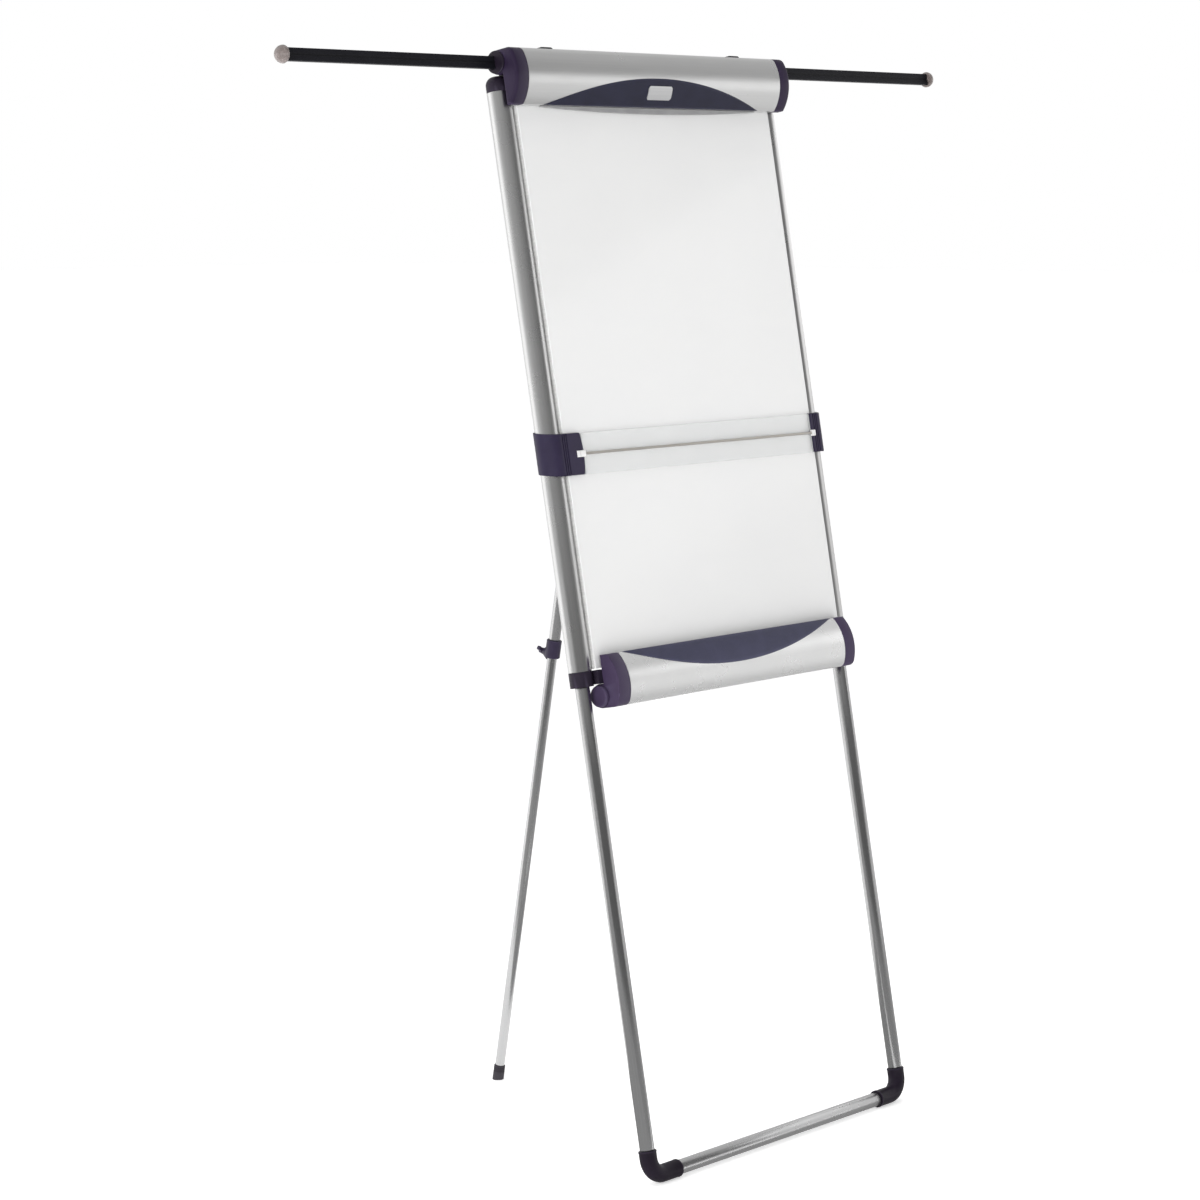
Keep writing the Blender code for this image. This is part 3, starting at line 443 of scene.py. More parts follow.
def flat(outlines, low, high, turn=None):
    """A flat outline, with holes if more are given, extruded along Z; turn then places it."""
    curve = bpy.data.curves.new("outline", "CURVE")
    curve.dimensions = "2D"
    curve.fill_mode = "BOTH"
    curve.extrude = (high - low) / 2
    for outline in outlines:
        spline = curve.splines.new("POLY")
        spline.points.add(len(outline) - 1)
        for point, place in zip(spline.points, outline):
            point.co = (place[0], place[1], 0, 1)
        spline.use_cyclic_u = True
    guide = linked("guide", curve)
    mesh = final_mesh(guide)
    bpy.data.objects.remove(guide)
    mesh.transform(Matrix.Translation((0, 0, (low + high) / 2)))
    if turn:
        mesh.transform(turn)
    return mesh


def final_mesh(made):
    """An object's evaluated mesh, with doubled points merged and flat faces joined."""
    bpy.context.view_layer.update()
    graph = bpy.context.evaluated_depsgraph_get()
    mesh = bpy.data.meshes.new_from_object(made.evaluated_get(graph))
    with opened(mesh) as work:
        bmesh.ops.remove_doubles(work, verts=work.verts, dist=0.00001)
        bmesh.ops.dissolve_limit(work, angle_limit=0.001, verts=work.verts, edges=work.edges)
    return mesh


def along_x(outlines, x_low, x_high):
    """A (forward, up) section, run along X."""
    return flat(outlines, -x_high, -x_low, SECTION)


def section_box(low, high, inset=0):
    """The corners of a box as a (forward, up) section, moved inwards by an inset."""
    back, front, floor, top = inset - high.y, -low.y - inset, low.z + inset, high.z - inset
    return [(back, floor), (front, floor), (front, top), (back, top)]


def shell(verts, columns, rows):
    """A closed solid between two layers of points, each a grid of columns + 1 by rows + 1."""
    across, layer = rows + 1, (columns + 1) * (rows + 1)
    faces = []
    for i in range(columns + 1):
        for j in range(rows + 1):
            at = i * across + j
            if i < columns and j < rows:
                faces.append([at, at + across, at + across + 1, at + 1])
                faces.append([layer + at, layer + at + 1, layer + at + across + 1, layer + at + across])
            if i < columns and j in (0, rows):
                faces.append([at, layer + at, layer + at + across, at + across])
            if i in (0, columns) and j < rows:
                faces.append([at, at + 1, layer + at + 1, layer + at])
    return solid(verts, faces)


def slab(low, high, radius, axis="Z"):
    """A block whose four edges along one axis are rounded."""
    a, b, c = order = {"X": (1, 2, 0), "Y": (2, 0, 1), "Z": (0, 1, 2)}[axis]
    turn = Matrix([[float(order[column] == row) for column in range(3)] for row in range(3)]).to_4x4()
    corners = [(low[a], low[b]), (high[a], low[b]), (high[a], high[b]), (low[a], high[b])]
    return flat([rounded(corners, radius)], low[c], high[c], turn)


def united(*meshes):
    """Several closed meshes as one."""
    work = bmesh.new()
    for mesh in meshes:
        work.from_mesh(mesh)
    made = bpy.data.meshes.new("united")
    work.to_mesh(made)
    work.free()
    return made


def without(mesh, tool):
    """What is left of a closed mesh when another in the same coordinates is cut from it."""
    first, second = linked("first", mesh), linked("second", tool)
    modifier = first.modifiers.new("boolean", "BOOLEAN")
    modifier.operation = "DIFFERENCE"
    modifier.solver = "EXACT"
    modifier.object = second
    result = final_mesh(first)
    for made in (first, second):
        bpy.data.objects.remove(made)
    return result


def pipe(radius, bore, low, high, lip):
    """A tube's closed profile with rounded rims."""
    a, b = lip * 0.3, lip * 0.4
    outer = [(radius, low + lip), (radius, high - lip), (radius - a, high - a), (radius - lip, high)]
    inner = [(bore + b, high), (bore, high - b), (bore, low + b), (bore + b, low)]
    return outer + inner + [(radius - lip, low), (radius - a, low + a)]


# --- the section that the header and the tray share ---

def bowed_front(reach, inset=0, steps=40):
    centre = (BOW_DEPTH - BOW_RADIUS, BOW_HEIGHT)
    corner_away = CORNER_RADIUS - BOSS_RADIUS
    meet = asin((corner_away - BOW_HEIGHT) / (BOW_RADIUS - CORNER_RADIUS))
    corner = (centre[0] + (BOW_RADIUS - CORNER_RADIUS) * cos(meet), corner_away)
    radius = BOW_RADIUS - inset
    start = asin((reach - BOW_HEIGHT) / radius)
    return (arc(centre, radius, start, meet, steps)
            + arc(corner, CORNER_RADIUS - inset, meet, -pi / 2, 14)[1:])


def cap_outline(reach):
    back_angle = acos(SECTION_BACK / BOSS_RADIUS)
    boss = arc((0, 0), BOSS_RADIUS, -pi / 2, back_angle - 2 * pi, 44)
    return bowed_front(reach) + boss[1:] + [(SECTION_BACK, reach)]


def mirrored(outline):
    return [(forward, -away) for forward, away in outline]


def lens(reach, upward, half, height=0.052):
    """A lens-shaped inlay that follows the bow and thins towards its rim."""
    front = bowed_front(reach, 0, 60)
    lengths = [0]
    for a, b in zip(front, front[1:]):
        lengths.append(lengths[-1] + dist(a, b))

    def on_bow(distance):
        for k in range(len(front) - 1):
            if lengths[k + 1] >= distance:
                t = (distance - lengths[k]) / (lengths[k + 1] - lengths[k])
                a, b = Vector(front[k]), Vector(front[k + 1])
                normal = Vector((b - a).yx * Vector((-1, 1))).normalized()
                return a.lerp(b, t), normal if normal.x > 0 else -normal
        return Vector(front[-1]), Vector((1, 0))

    radius = (half ** 2 + height ** 2) / (2 * height)
    columns, rows = 96, 14
    verts = []
    for layer in (0, 1):
        for i in range(columns + 1):
            x = -half + 2 * half * i / columns
            depth = max(0.0004, height - radius + sqrt(max(0, radius ** 2 - x ** 2)))
            for j in range(rows + 1):
                share = j / rows
                point, normal = on_bow(0.0002 + depth * share)
                rim = min(depth * (1 - share), depth * share + 0.0006, (half - abs(x)) * 0.35)
                lift = GAP + layer * (0.0002 + 0.001 * min(1, sqrt(max(0, rim) / 0.0016)))
                point = point + normal * lift
                verts.append((x, -point.x, upward * point.y))
    return shell(verts, columns, rows)


# --- board frame ---

def build_rails():
    board_high = span("board_core")[1]
    for side, hand in SIDES:
        node = "rail_" + hand
        low, high = span(node)
        radius = (high.y - low.y) / 2
        centre_x = abs(high.x if side > 0 else low.x) - radius
        inner, back = centre_x - board_high.x - GAP, -board_high.y - GAP
        start, end = pi + acos(inner / radius), 3 * pi - asin(back / radius)
        outline = [(side * (centre_x + x), y) for x, y in arc((0, 0), radius, start, end, 90)]
        outline.append((side * (centre_x - inner), board_high.y + GAP))
        mesh = flat([outline, circle((side * centre_x, 0), RAIL_BORE)], low.z, high.z)
        piece(node + "_extrusion", mesh, BOARD, RAIL_METAL, "board_frame", node,
              bevel=0.0004)


def build_board():
    low, high = span("board_face_sheet")
    front, wall, wrap = low.y, 0.0004, 0.0086
    outer = rounded([(low.x, front + wrap, 0), (low.x, front, 0.0018), (high.x, front, 0.0018),
                     (high.x, front + wrap, 0)], 0.0018, 8)
    inner = rounded([(high.x - wall, front + wrap, 0), (high.x - wall, front + wall, 0.0014),
                     (low.x + wall, front + wall, 0.0014), (low.x + wall, front + wrap, 0)], 0.0014, 8)
    face = piece("board_face", flat([outer + inner], low.z, high.z), BOARD, ENAMEL, "board_frame",
                 "board_face_sheet")
    # The enamel sheet's sides take the grey core finish: painted shade on the board's side face.
    recoat(face, CORE_AND_SIDE_SHADE, lambda normal: abs(normal.x) > 0.9)
    low, high = span("board_core")
    inset = 0.0009
    core = slab((low.x + inset, low.y + 0.0002, low.z + GAP), (high.x - inset, high.y, high.z - GAP), 0.0004)
    piece("board_core_edge", core, BOARD, CORE_AND_SIDE_SHADE, "board_frame", "board_core")
    back = slab(*span("board_back_sheet"), 0.0002)
    piece("board_back", back, BOARD, ENAMEL, "board_frame", "board_back_sheet")


def build_crossbar():
    low, high = span("top_crossbar")
    outer, inner = section_box(low, high), section_box(low, high, 0.002)
    mesh = along_x([rounded(outer, 0.0018), rounded(inner, 0.0008)], low.x, high.x)
    piece("crossbar_extrusion", mesh, BOARD, BAR_METAL, "board_frame", "top_crossbar",
          40, 0.0003)


def shrunk(outline, amount):
    """A closed outline moved inwards by an amount."""
    count = len(outline)
    points = [Vector(point) for point in outline]
    area = sum(points[i - 1].cross(points[i]) for i in range(count))
    inward = 1 if area > 0 else -1
    result = []
    for i, here in enumerate(points):
        first = (here - points[i - 1]).normalized()
        second = (points[(i + 1) % count] - here).normalized()
        normal = Vector((-first.y - second.y, first.x + second.x)).normalized() * inward
        share = max(0.5, normal.dot(Vector((-first.y, first.x)) * inward))
        result.append(tuple(here + normal * amount / share))
    return result


def cap_mesh(node, basis, reach, hole, upward, softness):
    """An end cap in the shared section, with a rounded outer edge and a bore."""
    low, high = span(node, basis)
    side = 1 if high.x > 0 else -1
    inner_x, outer_x = sorted((abs(low.x), abs(high.x)))
    outline = cap_outline(reach) if upward > 0 else mirrored(cap_outline(reach))
    stations = [(inner_x, 0.0006), (inner_x + 0.0002, 0.0002), (inner_x + 0.0006, 0)]
    for k in range(9):
        angle = pi / 2 * k / 8
        stations.append((outer_x - softness * (1 - sin(angle)), softness * (1 - cos(angle))))
    rings = [[(side * x, -forward, up) for forward, up in (shrunk(outline, inset) if inset else outline)]
             for x, inset in stations]
    drill = lathe([(0, 0.2), (hole, 0.2), (hole, 0.5), (0, 0.5)], turn=TOWARDS[side])
    return without(loft(rings), drill)


def build_tray():
    low, high = span("tray_shell", TRAY)
    floor_top = span("board_core")[0].z - tray_at.z - 0.004
    floor_back = -tray_at.y - 0.008
    below = bowed_front(floor_top - SKIN, SKIN)
    trough = [point for point in bowed_front(TRAY_REACH - 0.0002, SKIN) if point[1] > floor_top]
    floor = [(-floor_back, floor_top - SKIN), (-floor_back, floor_top), bowed_front(floor_top, SKIN)[0]]
    outline = bowed_front(TRAY_REACH) + HEM + below[::-1] + floor + trough[::-1]
    piece("tray_extrusion", along_x([outline], low.x, high.x), TRAY, TRAY_SILVER_LIT_COPY, "board_frame",
          "tray_shell", bevel=0.0004)
    insert = lens(TRAY_REACH, 1, span("tray_insert", TRAY)[1].x)
    piece("tray_inlay", insert, TRAY, TRAY_NAVY_LIT_COPY, "board_frame", "tray_insert", 50)
    for side, hand in SIDES:
        node = "tray_cap_" + hand
        cap = cap_mesh(node, TRAY, TRAY_REACH, 0.012, 1, 0.0014)
        piece(node + "_moulding", cap, TRAY, TRAY_PLUM_LIT_COPY, "board_frame", node, 50)
        node = "tray_plug_" + hand
        end = abs(span(node, TRAY)[side > 0].x)
        root = end - 0.008
        profile = [(0, end - 0.0006), (0.0085, end - 0.0006), (0.012, end - 0.0004), (0.015, end),
                   (0.0166, end - 0.0003), (0.0178, end - 0.0012), (0.0185, end - 0.0026),
                   (0.0185, root + 0.002), (0.0176, root + 0.0012), (0.0176, root + GAP),
                   (0.0117, root + GAP), (0.0117, root - 0.018), (0.0105, root - 0.02), (0, root - 0.02)]
        plug = lathe(profile, 80, turn=TOWARDS[side])
        piece(node + "_moulding", plug, TRAY, TRAY_PLUM_LIT_COPY, "board_frame", node, 38)


def build_header():
    low, high = span("header_shell", HEADER)
    inner = bowed_front(HEADER_REACH - SKIN, SKIN)
    groove = [(0.0012, -BOSS_RADIUS), (0.0008, 0.0006 - BOSS_RADIUS), (-0.0004, 0.0006 - BOSS_RADIUS),
              (-0.0008, -BOSS_RADIUS)]
    flange = [(SECTION_BACK, HEADER_REACH - SKIN), (SECTION_BACK, HEADER_REACH)]
    outline = bowed_front(HEADER_REACH) + groove + HEM + inner[::-1] + flange
    piece("header_extrusion", along_x([mirrored(outline)], low.x, high.x), HEADER, SILVER, "header_clamp",
          "header_shell", bevel=0.0003)
    insert = lens(HEADER_REACH, -1, span("header_insert", HEADER)[1].x)
    piece("header_inlay", insert, HEADER, NAVY, "header_clamp", "header_insert", 50)
    for node in ("header_cap_left", "header_cap_right"):
        cap = cap_mesh(node, HEADER, HEADER_REACH, 0.0163, -1, 0.006)
        piece(node + "_moulding", cap, HEADER, CAP_PLUM, "header_clamp", node, 50)
    build_badge()
    build_lip()
    build_hook("pad_hook_left")
    build_hook("pad_hook_right")


def build_badge():
    """A plain blank plate that follows the bow, with rounded corners and a crisp rim."""
    low, high = span("header_badge", HEADER)
    thickness, corner = 0.0012, 0.004
    front = bowed_front(HEADER_REACH, -(GAP + thickness + 0.0001), 60)
    rows = [point for point in front if -high.z - 0.0006 <= point[1] <= -low.z + 0.0006]
    columns, verts = 24, []
    for lift, shrink in ((0, 0), (thickness, 0.0004)):
        for i in range(columns + 1):
            share = -1 + 2 * i / columns
            for j, (forward, away) in enumerate(rows):
                rise = 1 - abs(2 * j / (len(rows) - 1) - 1)
                inset = corner * (1 - min(1, rise * 3)) ** 2
                verts.append((share * (high.x - inset - shrink), -forward - lift, -away))
    piece("header_badge_plate", shell(verts, columns, len(rows) - 1), HEADER, BADGE, "header_clamp",
          "header_badge", 40)


def build_lip():
    low, high = span("clamp_lip", HEADER)
    depth = high.z - low.z - 0.0015
    radius = (high.x ** 2 + depth ** 2) / (2 * depth)
    half = asin(high.x / radius)
    bow = arc((0, low.z + radius), radius, -pi / 2 - half, -pi / 2 + half, 64)
    outline = bow + [(high.x, high.z), (low.x, high.z)]
    mesh = flat([outline], -high.y, -low.y, UPRIGHT)
    # Its grey finish is painted shade, standing for the shadowed lower edge of the silver shell.
    piece("clamp_lip_strip", mesh, HEADER, SHADED_LIP_GREY, "header_clamp", "clamp_lip", 40, 0.0006)


def build_hook(node):
    """A pad hook: a tab on the header's top edge, and a strap with a peg behind its front."""
    low, high = span(node, HEADER)
    centre = (low.x + high.x) / 2
    top, base = high.z + 0.0012, BOSS_RADIUS + GAP
    front, back = -0.012, 0.009
    profile = rounded([(low.x, base, 0.0006), (high.x, base, 0.0006), (high.x - 0.005, top, 0.006),
                       (low.x + 0.005, top, 0.006)], 0.002, 8)
    cap = flat([profile], -back, -front, UPRIGHT)
    heel = slab((low.x + 0.001, 0.0043, 0.017), (high.x - 0.001, back - 0.0003, base + 0.001), 0.001, "X")
    under = BOSS_RADIUS - SKIN - GAP
    strap = slab((centre - 0.006, -0.0228, -0.045), (centre + 0.006, -0.0197, under), 0.001, "X")
    tongue = slab((centre - 0.006, -0.021, 0.017), (centre + 0.006, 0.006, under), 0.0006, "Y")
    peg = lathe([(0, 0.012), (0.0022, 0.012), (0.003, 0.011), (0.003, 0), (0, 0)], 32,
                turn=Matrix.Translation((centre, -0.0215, -0.04)) @ Matrix.Rotation(-pi / 2, 4, "X"))
    mesh = united(cap, heel, strap, tongue, peg)
    piece(node + "_moulding", mesh, HEADER, BLACK, node, node, bevel=0.0009)


# --- legs ---

def tube(node, basis, metal, body, wall, sides=LEG_SIDES, lip=0.0007, turn=None):
    """A drawn tube as long and as thick as its CAD node."""
    low, high = span(node, basis)
    radius = (high.y - low.y) / 2
    ends = (low.x, high.x) if turn else (low.z, high.z)
    mesh = lathe(pipe(radius, radius - wall, *ends, lip), sides, turn=turn)
    piece(node + "_drawn", mesh, basis, metal, body, node, 38)


def elbow_mesh(low, high, side):
    """A moulded bend with a thickened mouth at each end and a faint parting line."""
    rail_x = -middle("leg_tube_left").x
    end_x, top = span("bottom_bar")[1].x + GAP, span("leg_tube_left")[0].z - GAP
    bend, spigot, radius = 0.03, 0.0106, 0.0155
    stations = [(rail_x, high.z)] + [(rail_x, top - t) for t in (0, 0, 0.0008, 0.003, 0.0042)]
    stations += arc((rail_x - bend, bend), bend, 0, -pi / 2, 26)
    stations += [(end_x + t, 0) for t in (0.0042, 0.003, 0.0008, 0, 0)]
    stations.append((min(abs(low.x), abs(high.x)), 0))
    mouth = [spigot, spigot, radius - 0.0007, radius, radius, radius - 0.0005]
    reaches = mouth + [radius - 0.0005] * 27 + mouth[::-1]
    rings, count = [], 56
    for k, (x, z) in enumerate(stations):
        before, after = stations[max(0, k - 2)], stations[min(len(stations) - 1, k + 2)]
        way = Vector((after[0] - before[0], 0, after[1] - before[1])).normalized()
        sideways = Vector((0, 1, 0))
        outward = sideways.cross(way)
        ring = []
        for i in range(count):
            angle = 2 * pi * i / count
            reach = reaches[k] + (0.0002 if i in (0, count // 2) else 0)
            point = Vector((x, 0, z)) + outward * reach * cos(angle) + sideways * reach * sin(angle)
            ring.append((side * point.x, point.y, point.z))
        rings.append(ring)
    return loft(rings)


def build_front_legs():
    for side, hand in SIDES:
        node = "leg_tube_" + hand
        tube(node, moved(BOARD, middle(node).x), LEG_METAL, "leg_frame", LEG_WALL)
        node = "leg_elbow_" + hand
        mesh = elbow_mesh(*span(node), side)
        piece(node + "_moulding", mesh, BOARD, AUBERGINE, "leg_frame", node, 40)
    tube("bottom_bar", BOARD, BAR_METAL, "leg_frame", LEG_WALL, turn=ALONG_X)


def knob_mesh(radius, top, length):
    """A fluted thumb knob with a dished top, on its screw."""
    def flute(angle, height):
        return 0.055 * cos(8 * angle) - 0.02 if height > 0.0004 else 0
    stem, turns = 0.003, 6
    profile = [(0, top - 0.0012), (radius * 0.45, top - 0.0011), (radius * 0.62, top - 0.0002),
               (radius * 0.8, top), (radius * 0.93, top - 0.0008), (radius, top - 0.0024), (radius, 0.0024),
               (radius * 0.94, 0.0008), (radius * 0.8, 0.0002), (stem * 1.5, 0.0002), (stem * 1.5, -0.0006),
               (stem, -0.001)]
    pitch = (length - 0.0028) / turns
    for k in range(turns):
        height = -0.0014 - pitch * k
        profile += [(stem * 0.9, height - 0.0001), (stem, height - pitch * 0.5)]
    profile += [(stem * 0.85, -length + 0.0004), (0, -length)]
    return lathe(profile, 96, flute)


def build_leg_clamps():
    for hand in ("left", "right"):
        node, joint = "leg_clamp_knob_" + hand, joints["leg_clamp_%s_turn" % hand]
        turn = Vector((0, 0, 1)).rotation_difference(Vector(joint["axis"])).to_matrix().to_4x4()
        basis = Matrix.Translation(joint["pos_m"]) @ turn
        low, high = span(node, basis)
        mesh = knob_mesh((high.x - low.x) / 2 * 0.94, high.z, -low.z)
        piece(node + "_moulding", mesh, basis, AUBERGINE, "leg_clamp_" + hand, node, 40)


def build_rear_leg():
    tube("rear_upper_tube", REAR, REAR_METAL, "rear_leg_upper", 0.0012, ROUND, 0.0005)
    tube("rear_lower_tube", REAR, REAR_METAL, "rear_leg_lower", 0.0014, ROUND, 0.0005)
    build_rear_clamp()
    build_rear_foot()


def build_rear_clamp():
    """The clamp collar with a tapered boss, and the wing screw that tightens it."""
    low, high = span("rear_clamp", REAR)
    radius, lip = -low.y, 0.001
    upper_foot = span("rear_upper_tube", REAR)[0].z
    screw_at = REAR.inverted() @ Vector(joints["rear_clamp_turn"]["pos_m"])
    sleeve = [(radius - lip, high.z), (radius, high.z - lip), (radius, low.z + lip), (radius - lip, low.z),
              (0.0093, low.z), (0.0093, upper_foot - GAP), (0.0108, upper_foot - GAP), (0.0108, high.z)]
    rings = []
    for y, half, tall, drop in ((0.0095, 0.0095, 0.0145, 0), (0.0135, 0.0082, 0.0122, 0),
                                (0.0175, 0.0066, 0.0092, 0.0006), (0.02, 0.0058, 0.0072, 0.001),
                                (0.0214, 0.0054, 0.0062, 0.0012), (0.022, 0.0046, 0.0054, 0.0012)):
        rings.append([(half * cos(a), y, screw_at.z + drop * 0.3 + tall * sin(a) * 0.92)
                      for a in (2 * pi * i / 40 for i in range(40))])
    boss = without(loft(rings), lathe([(0, high.z), (0.0125, high.z), (0.0125, low.z), (0, low.z)]))
    piece("rear_clamp_moulding", united(lathe(sleeve), boss), REAR, PLUM, "rear_leg_upper",
          "rear_clamp", 36, 0.0005)
    basis = (moved(REAR, 0, screw_at.y, screw_at.z) @ Matrix.Rotation(-pi / 2, 4, "X")
             @ Matrix.Rotation(radians(35), 4, "Z"))
    low = span("rear_clamp_knob", basis)[0]
    hub = lathe([(0, 0.0078), (0.004, 0.0078), (0.005, 0.007), (0.0056, 0.001), (0.005, 0), (0.003, 0),
                 (0.003, low.z + 0.0006), (0.0024, low.z), (0, low.z)], 48)
    rings = []
    for x, wide, base, tall in ((0.002, 0.0036, 0.0006, 0.0078), (0.005, 0.0034, 0.0008, 0.0082),
                                (0.008, 0.0036, 0.0004, 0.0084), (0.0105, 0.0034, 0.0006, 0.008),
                                (0.0118, 0.0026, 0.0014, 0.007), (0.0123, 0.0014, 0.0026, 0.0056)):
        outline = rounded([(-wide, base), (wide, base), (wide, tall), (-wide, tall)], 0.0016, 5)
        rings.append([(x, y, z) for y, z in outline])
    wing = loft(rings)
    twin = wing.copy()
    twin.transform(Matrix.Rotation(pi, 4, "Z"))
    piece("rear_clamp_wing_screw", united(hub, wing, twin), basis, PLUM, "rear_clamp_screw",
          "rear_clamp_knob", 36)


def build_rear_foot():
    """A ribbed rubber ferrule, cut level with the floor."""
    low, high = span("rear_foot", REAR)
    top = span("rear_lower_tube", REAR)[0].z - GAP
    profile = [(0, high.z), (0.0068, high.z), (0.0073, high.z - 0.0006), (0.0073, top), (0.0098, top),
               (0.0104, top - 0.0008)]
    for k in range(3):
        at = top - 0.003 - 0.0034 * k
        profile += [(0.0104, at), (0.0096, at - 0.0005), (0.0096, at - 0.0013), (0.0105, at - 0.0018)]
    below_floor = low.z - 0.002
    mesh = lathe(profile + [(0.0105, below_floor), (0, below_floor)])
    to_local = REAR.inverted()
    floor_up = (to_local.to_3x3() @ Vector((0, 0, 1))).normalized()
    with opened(mesh) as work:
        geometry = work.verts[:] + work.edges[:] + work.faces[:]
        cut = bmesh.ops.bisect_plane(work, geom=geometry, plane_co=to_local.translation, plane_no=floor_up,
                                     clear_inner=True)
        rim = [item for item in cut["geom_cut"] if isinstance(item, bmesh.types.BMEdge)]
        bmesh.ops.contextual_create(work, geom=rim)
    piece("rear_foot_ferrule", mesh, REAR, RUBBER, "rear_leg_lower", "rear_foot", 36)


# --- display arms and rule ---

def build_arms():
    for side, hand in SIDES:
        node, body = "arm_bar_" + hand, "arm_" + hand
        low, high = span(node)
        half_y, half_z = (high.y - low.y) / 2, (high.z - low.z) / 2
        basis = moved(BOARD, 0, (low.y + high.y) / 2, (low.z + high.z) / 2)
        groove, floor = half_y, half_y - 0.0006
        corners = [(-half_y, -half_z), (half_y, -half_z), (groove, -0.0022, 0.0003), (floor, -0.0012, 0.0003),
                   (floor, 0.0012, 0.0003), (groove, 0.0022, 0.0003), (half_y, half_z), (-half_y, half_z),
                   (-groove, 0.0022, 0.0003), (-floor, 0.0012, 0.0003), (-floor, -0.0012, 0.0003),
                   (-groove, -0.0022, 0.0003)]
        mesh = along_x([rounded(corners, 0.0013)], low.x, high.x)
        piece(node + "_drawn", mesh, basis, BLACK, body, node, 40, 0.0003)
        node = "arm_tip_" + hand
        low, high = span(node)
        root, tip = sorted((abs(low.x), abs(high.x)))
        radius, rim = (high.z - low.z) / 2, root + 0.0012
        profile = [(0, tip)]
        for k in range(1, 15):
            angle = pi / 2 * k / 15
            profile.append((radius * sin(angle) ** 0.94, rim + (tip - rim) * cos(angle)))
        profile += [(radius, rim), (radius - 0.0004, root + 0.0003), (radius - 0.0012, root), (0.01, root),
                    (0.0096, root + 0.001), (0, root + 0.001)]
        mesh = lathe(profile, 72, turn=TOWARDS[side])
        piece(node + "_moulding", mesh, basis, SMOKE, body, node, 40)


def bracket_section(side, reach):
    """A ribbed clip round the rail's outer side, with a flange over the board, as (x, back)."""
    rail_low, rail_high = span("rail_right")
    rail_x, radius = middle("leg_tube_right").x, (rail_high.y - rail_low.y) / 2 + 0.0004
    front, back = -span("rule_bracket_right")[0].y, -span("rule_plate")[1].y - 0.0009
    outer_radius = radius + 0.0022
    outer, steps = [], 48
    for i in range(steps + 1):
        angle = pi / 2 + pi * 0.95 * i / steps
        bulge = max(0, sin(angle)) ** 4
        out = outer_radius + (front - outer_radius) * bulge
        outer.append((out * cos(angle), out * sin(angle)))
    inner = arc((0, 0), radius, pi * 1.45, pi / 2, steps)
    ribs = []
    for start in (0.003, 0.008, 0.013):
        for along, drop in ((0, 0), (0.0005, 0.0017), (0.0021, 0.0017), (0.0026, 0)):
            ribs.append((start + along, front - drop))
    shape = outer + inner + [(0.002, back), (reach, back), (reach, front - 0.001), (reach - 0.001, front)]
    return [(side * (rail_x - along), -forward) for along, forward in shape + ribs[::-1]]


def bracket_mesh(node, side, bow):
    low, high = span(node)
    reach = middle("leg_tube_right").x - abs(high.x if side < 0 else low.x)
    centre, half = (low.z + high.z) / 2, (high.z - low.z) / 2
    rings = []
    for level in range(17):
        share = level / 8 - 1
        section = bracket_section(side, reach - bow * share ** 2)
        rings.append([(x, y, centre + half * share + BRACKET_SLANT * (y - low.y)) for x, y in section])
    return loft(rings)


def build_rule():
    plate_low, plate_high = span("rule_plate")
    mesh = along_x([rounded(section_box(plate_low, plate_high), 0.0006, 4)], plate_low.x, plate_high.x)
    plate = piece("rule_plate_clear", mesh, BOARD, CLEAR, "rule_carriage", "rule_plate", 40)
    recoat(plate, CLEAR_EDGE, lambda normal: abs(normal.y) < 0.75)
    low, high = span("rule_rod")
    radius, centre = (high.z - low.z) / 2, (low + high) / 2
    profile = [(0, high.x), (radius * 0.7, high.x), (radius, high.x - 0.0006), (radius, low.x + 0.0006),
               (radius * 0.7, low.x), (0, low.x)]
    piece("rule_rod_drawn", lathe(profile, 32, turn=ALONG_X), moved(BOARD, 0, centre.y, centre.z), STEEL,
          "rule_carriage", "rule_rod", 40)
    for side, hand in SIDES:
        node = "rule_bracket_" + hand
        clip_low, clip_high = span("rule_clip_" + hand)
        edge = span(node)[side < 0].x
        outer = clip_low.x if side < 0 else clip_high.x
        first, last = sorted((outer + side * GAP, edge - side * 0.01))
        notch = slab((first, -0.05, clip_low.z - GAP), (last, plate_low.y - GAP, clip_high.z + GAP), 0.0001)
        mesh = without(bracket_mesh(node, side, 0.005 if side < 0 else 0.001), notch)
        piece(node + "_moulding", mesh, BOARD, BRACKET_PLUM, "rule_carriage", node,
              bevel=0.0004)
        build_clip("rule_clip_" + hand, side)


def build_clip(node, side):
    """A white cap on the rod's end: a block and a collar with a groove between them."""
    low, high = span(node)
    outer, inner = (low.x, high.x) if side < 0 else (high.x, low.x)
    parts = []
    for start, end, shrink in ((0, 0.3, 0), (0.3, 0.37, 0.0012), (0.37, 1, 0)):
        first, last = sorted((outer + (inner - outer) * start, outer + (inner - outer) * end))
        floor, front, top = low.z + shrink, -low.y - shrink, high.z - shrink
        corners = [(-high.y, floor, 0.0002), (front, floor, 0.0022), (front, top, 0.0022),
                   (-high.y, top, 0.0002)]
        parts.append(along_x([rounded(corners, 0.002, 6)], first, last))
    piece(node + "_moulding", united(*parts), BOARD, WHITE_CLIP, "rule_carriage", node,
          40, 0.0003)


# --- CAD nodes that stay, with softened edges and better finishes ---

def keep(node, finish, bevel):
    made = frame["nodes"][node]
    made.data.materials.clear()
    made.data.materials.append(finish)
    made.modifiers.new("weld", "WELD").merge_threshold = 0.00001
    if bevel:
        soften(made, bevel)
    made.data.shade_smooth()


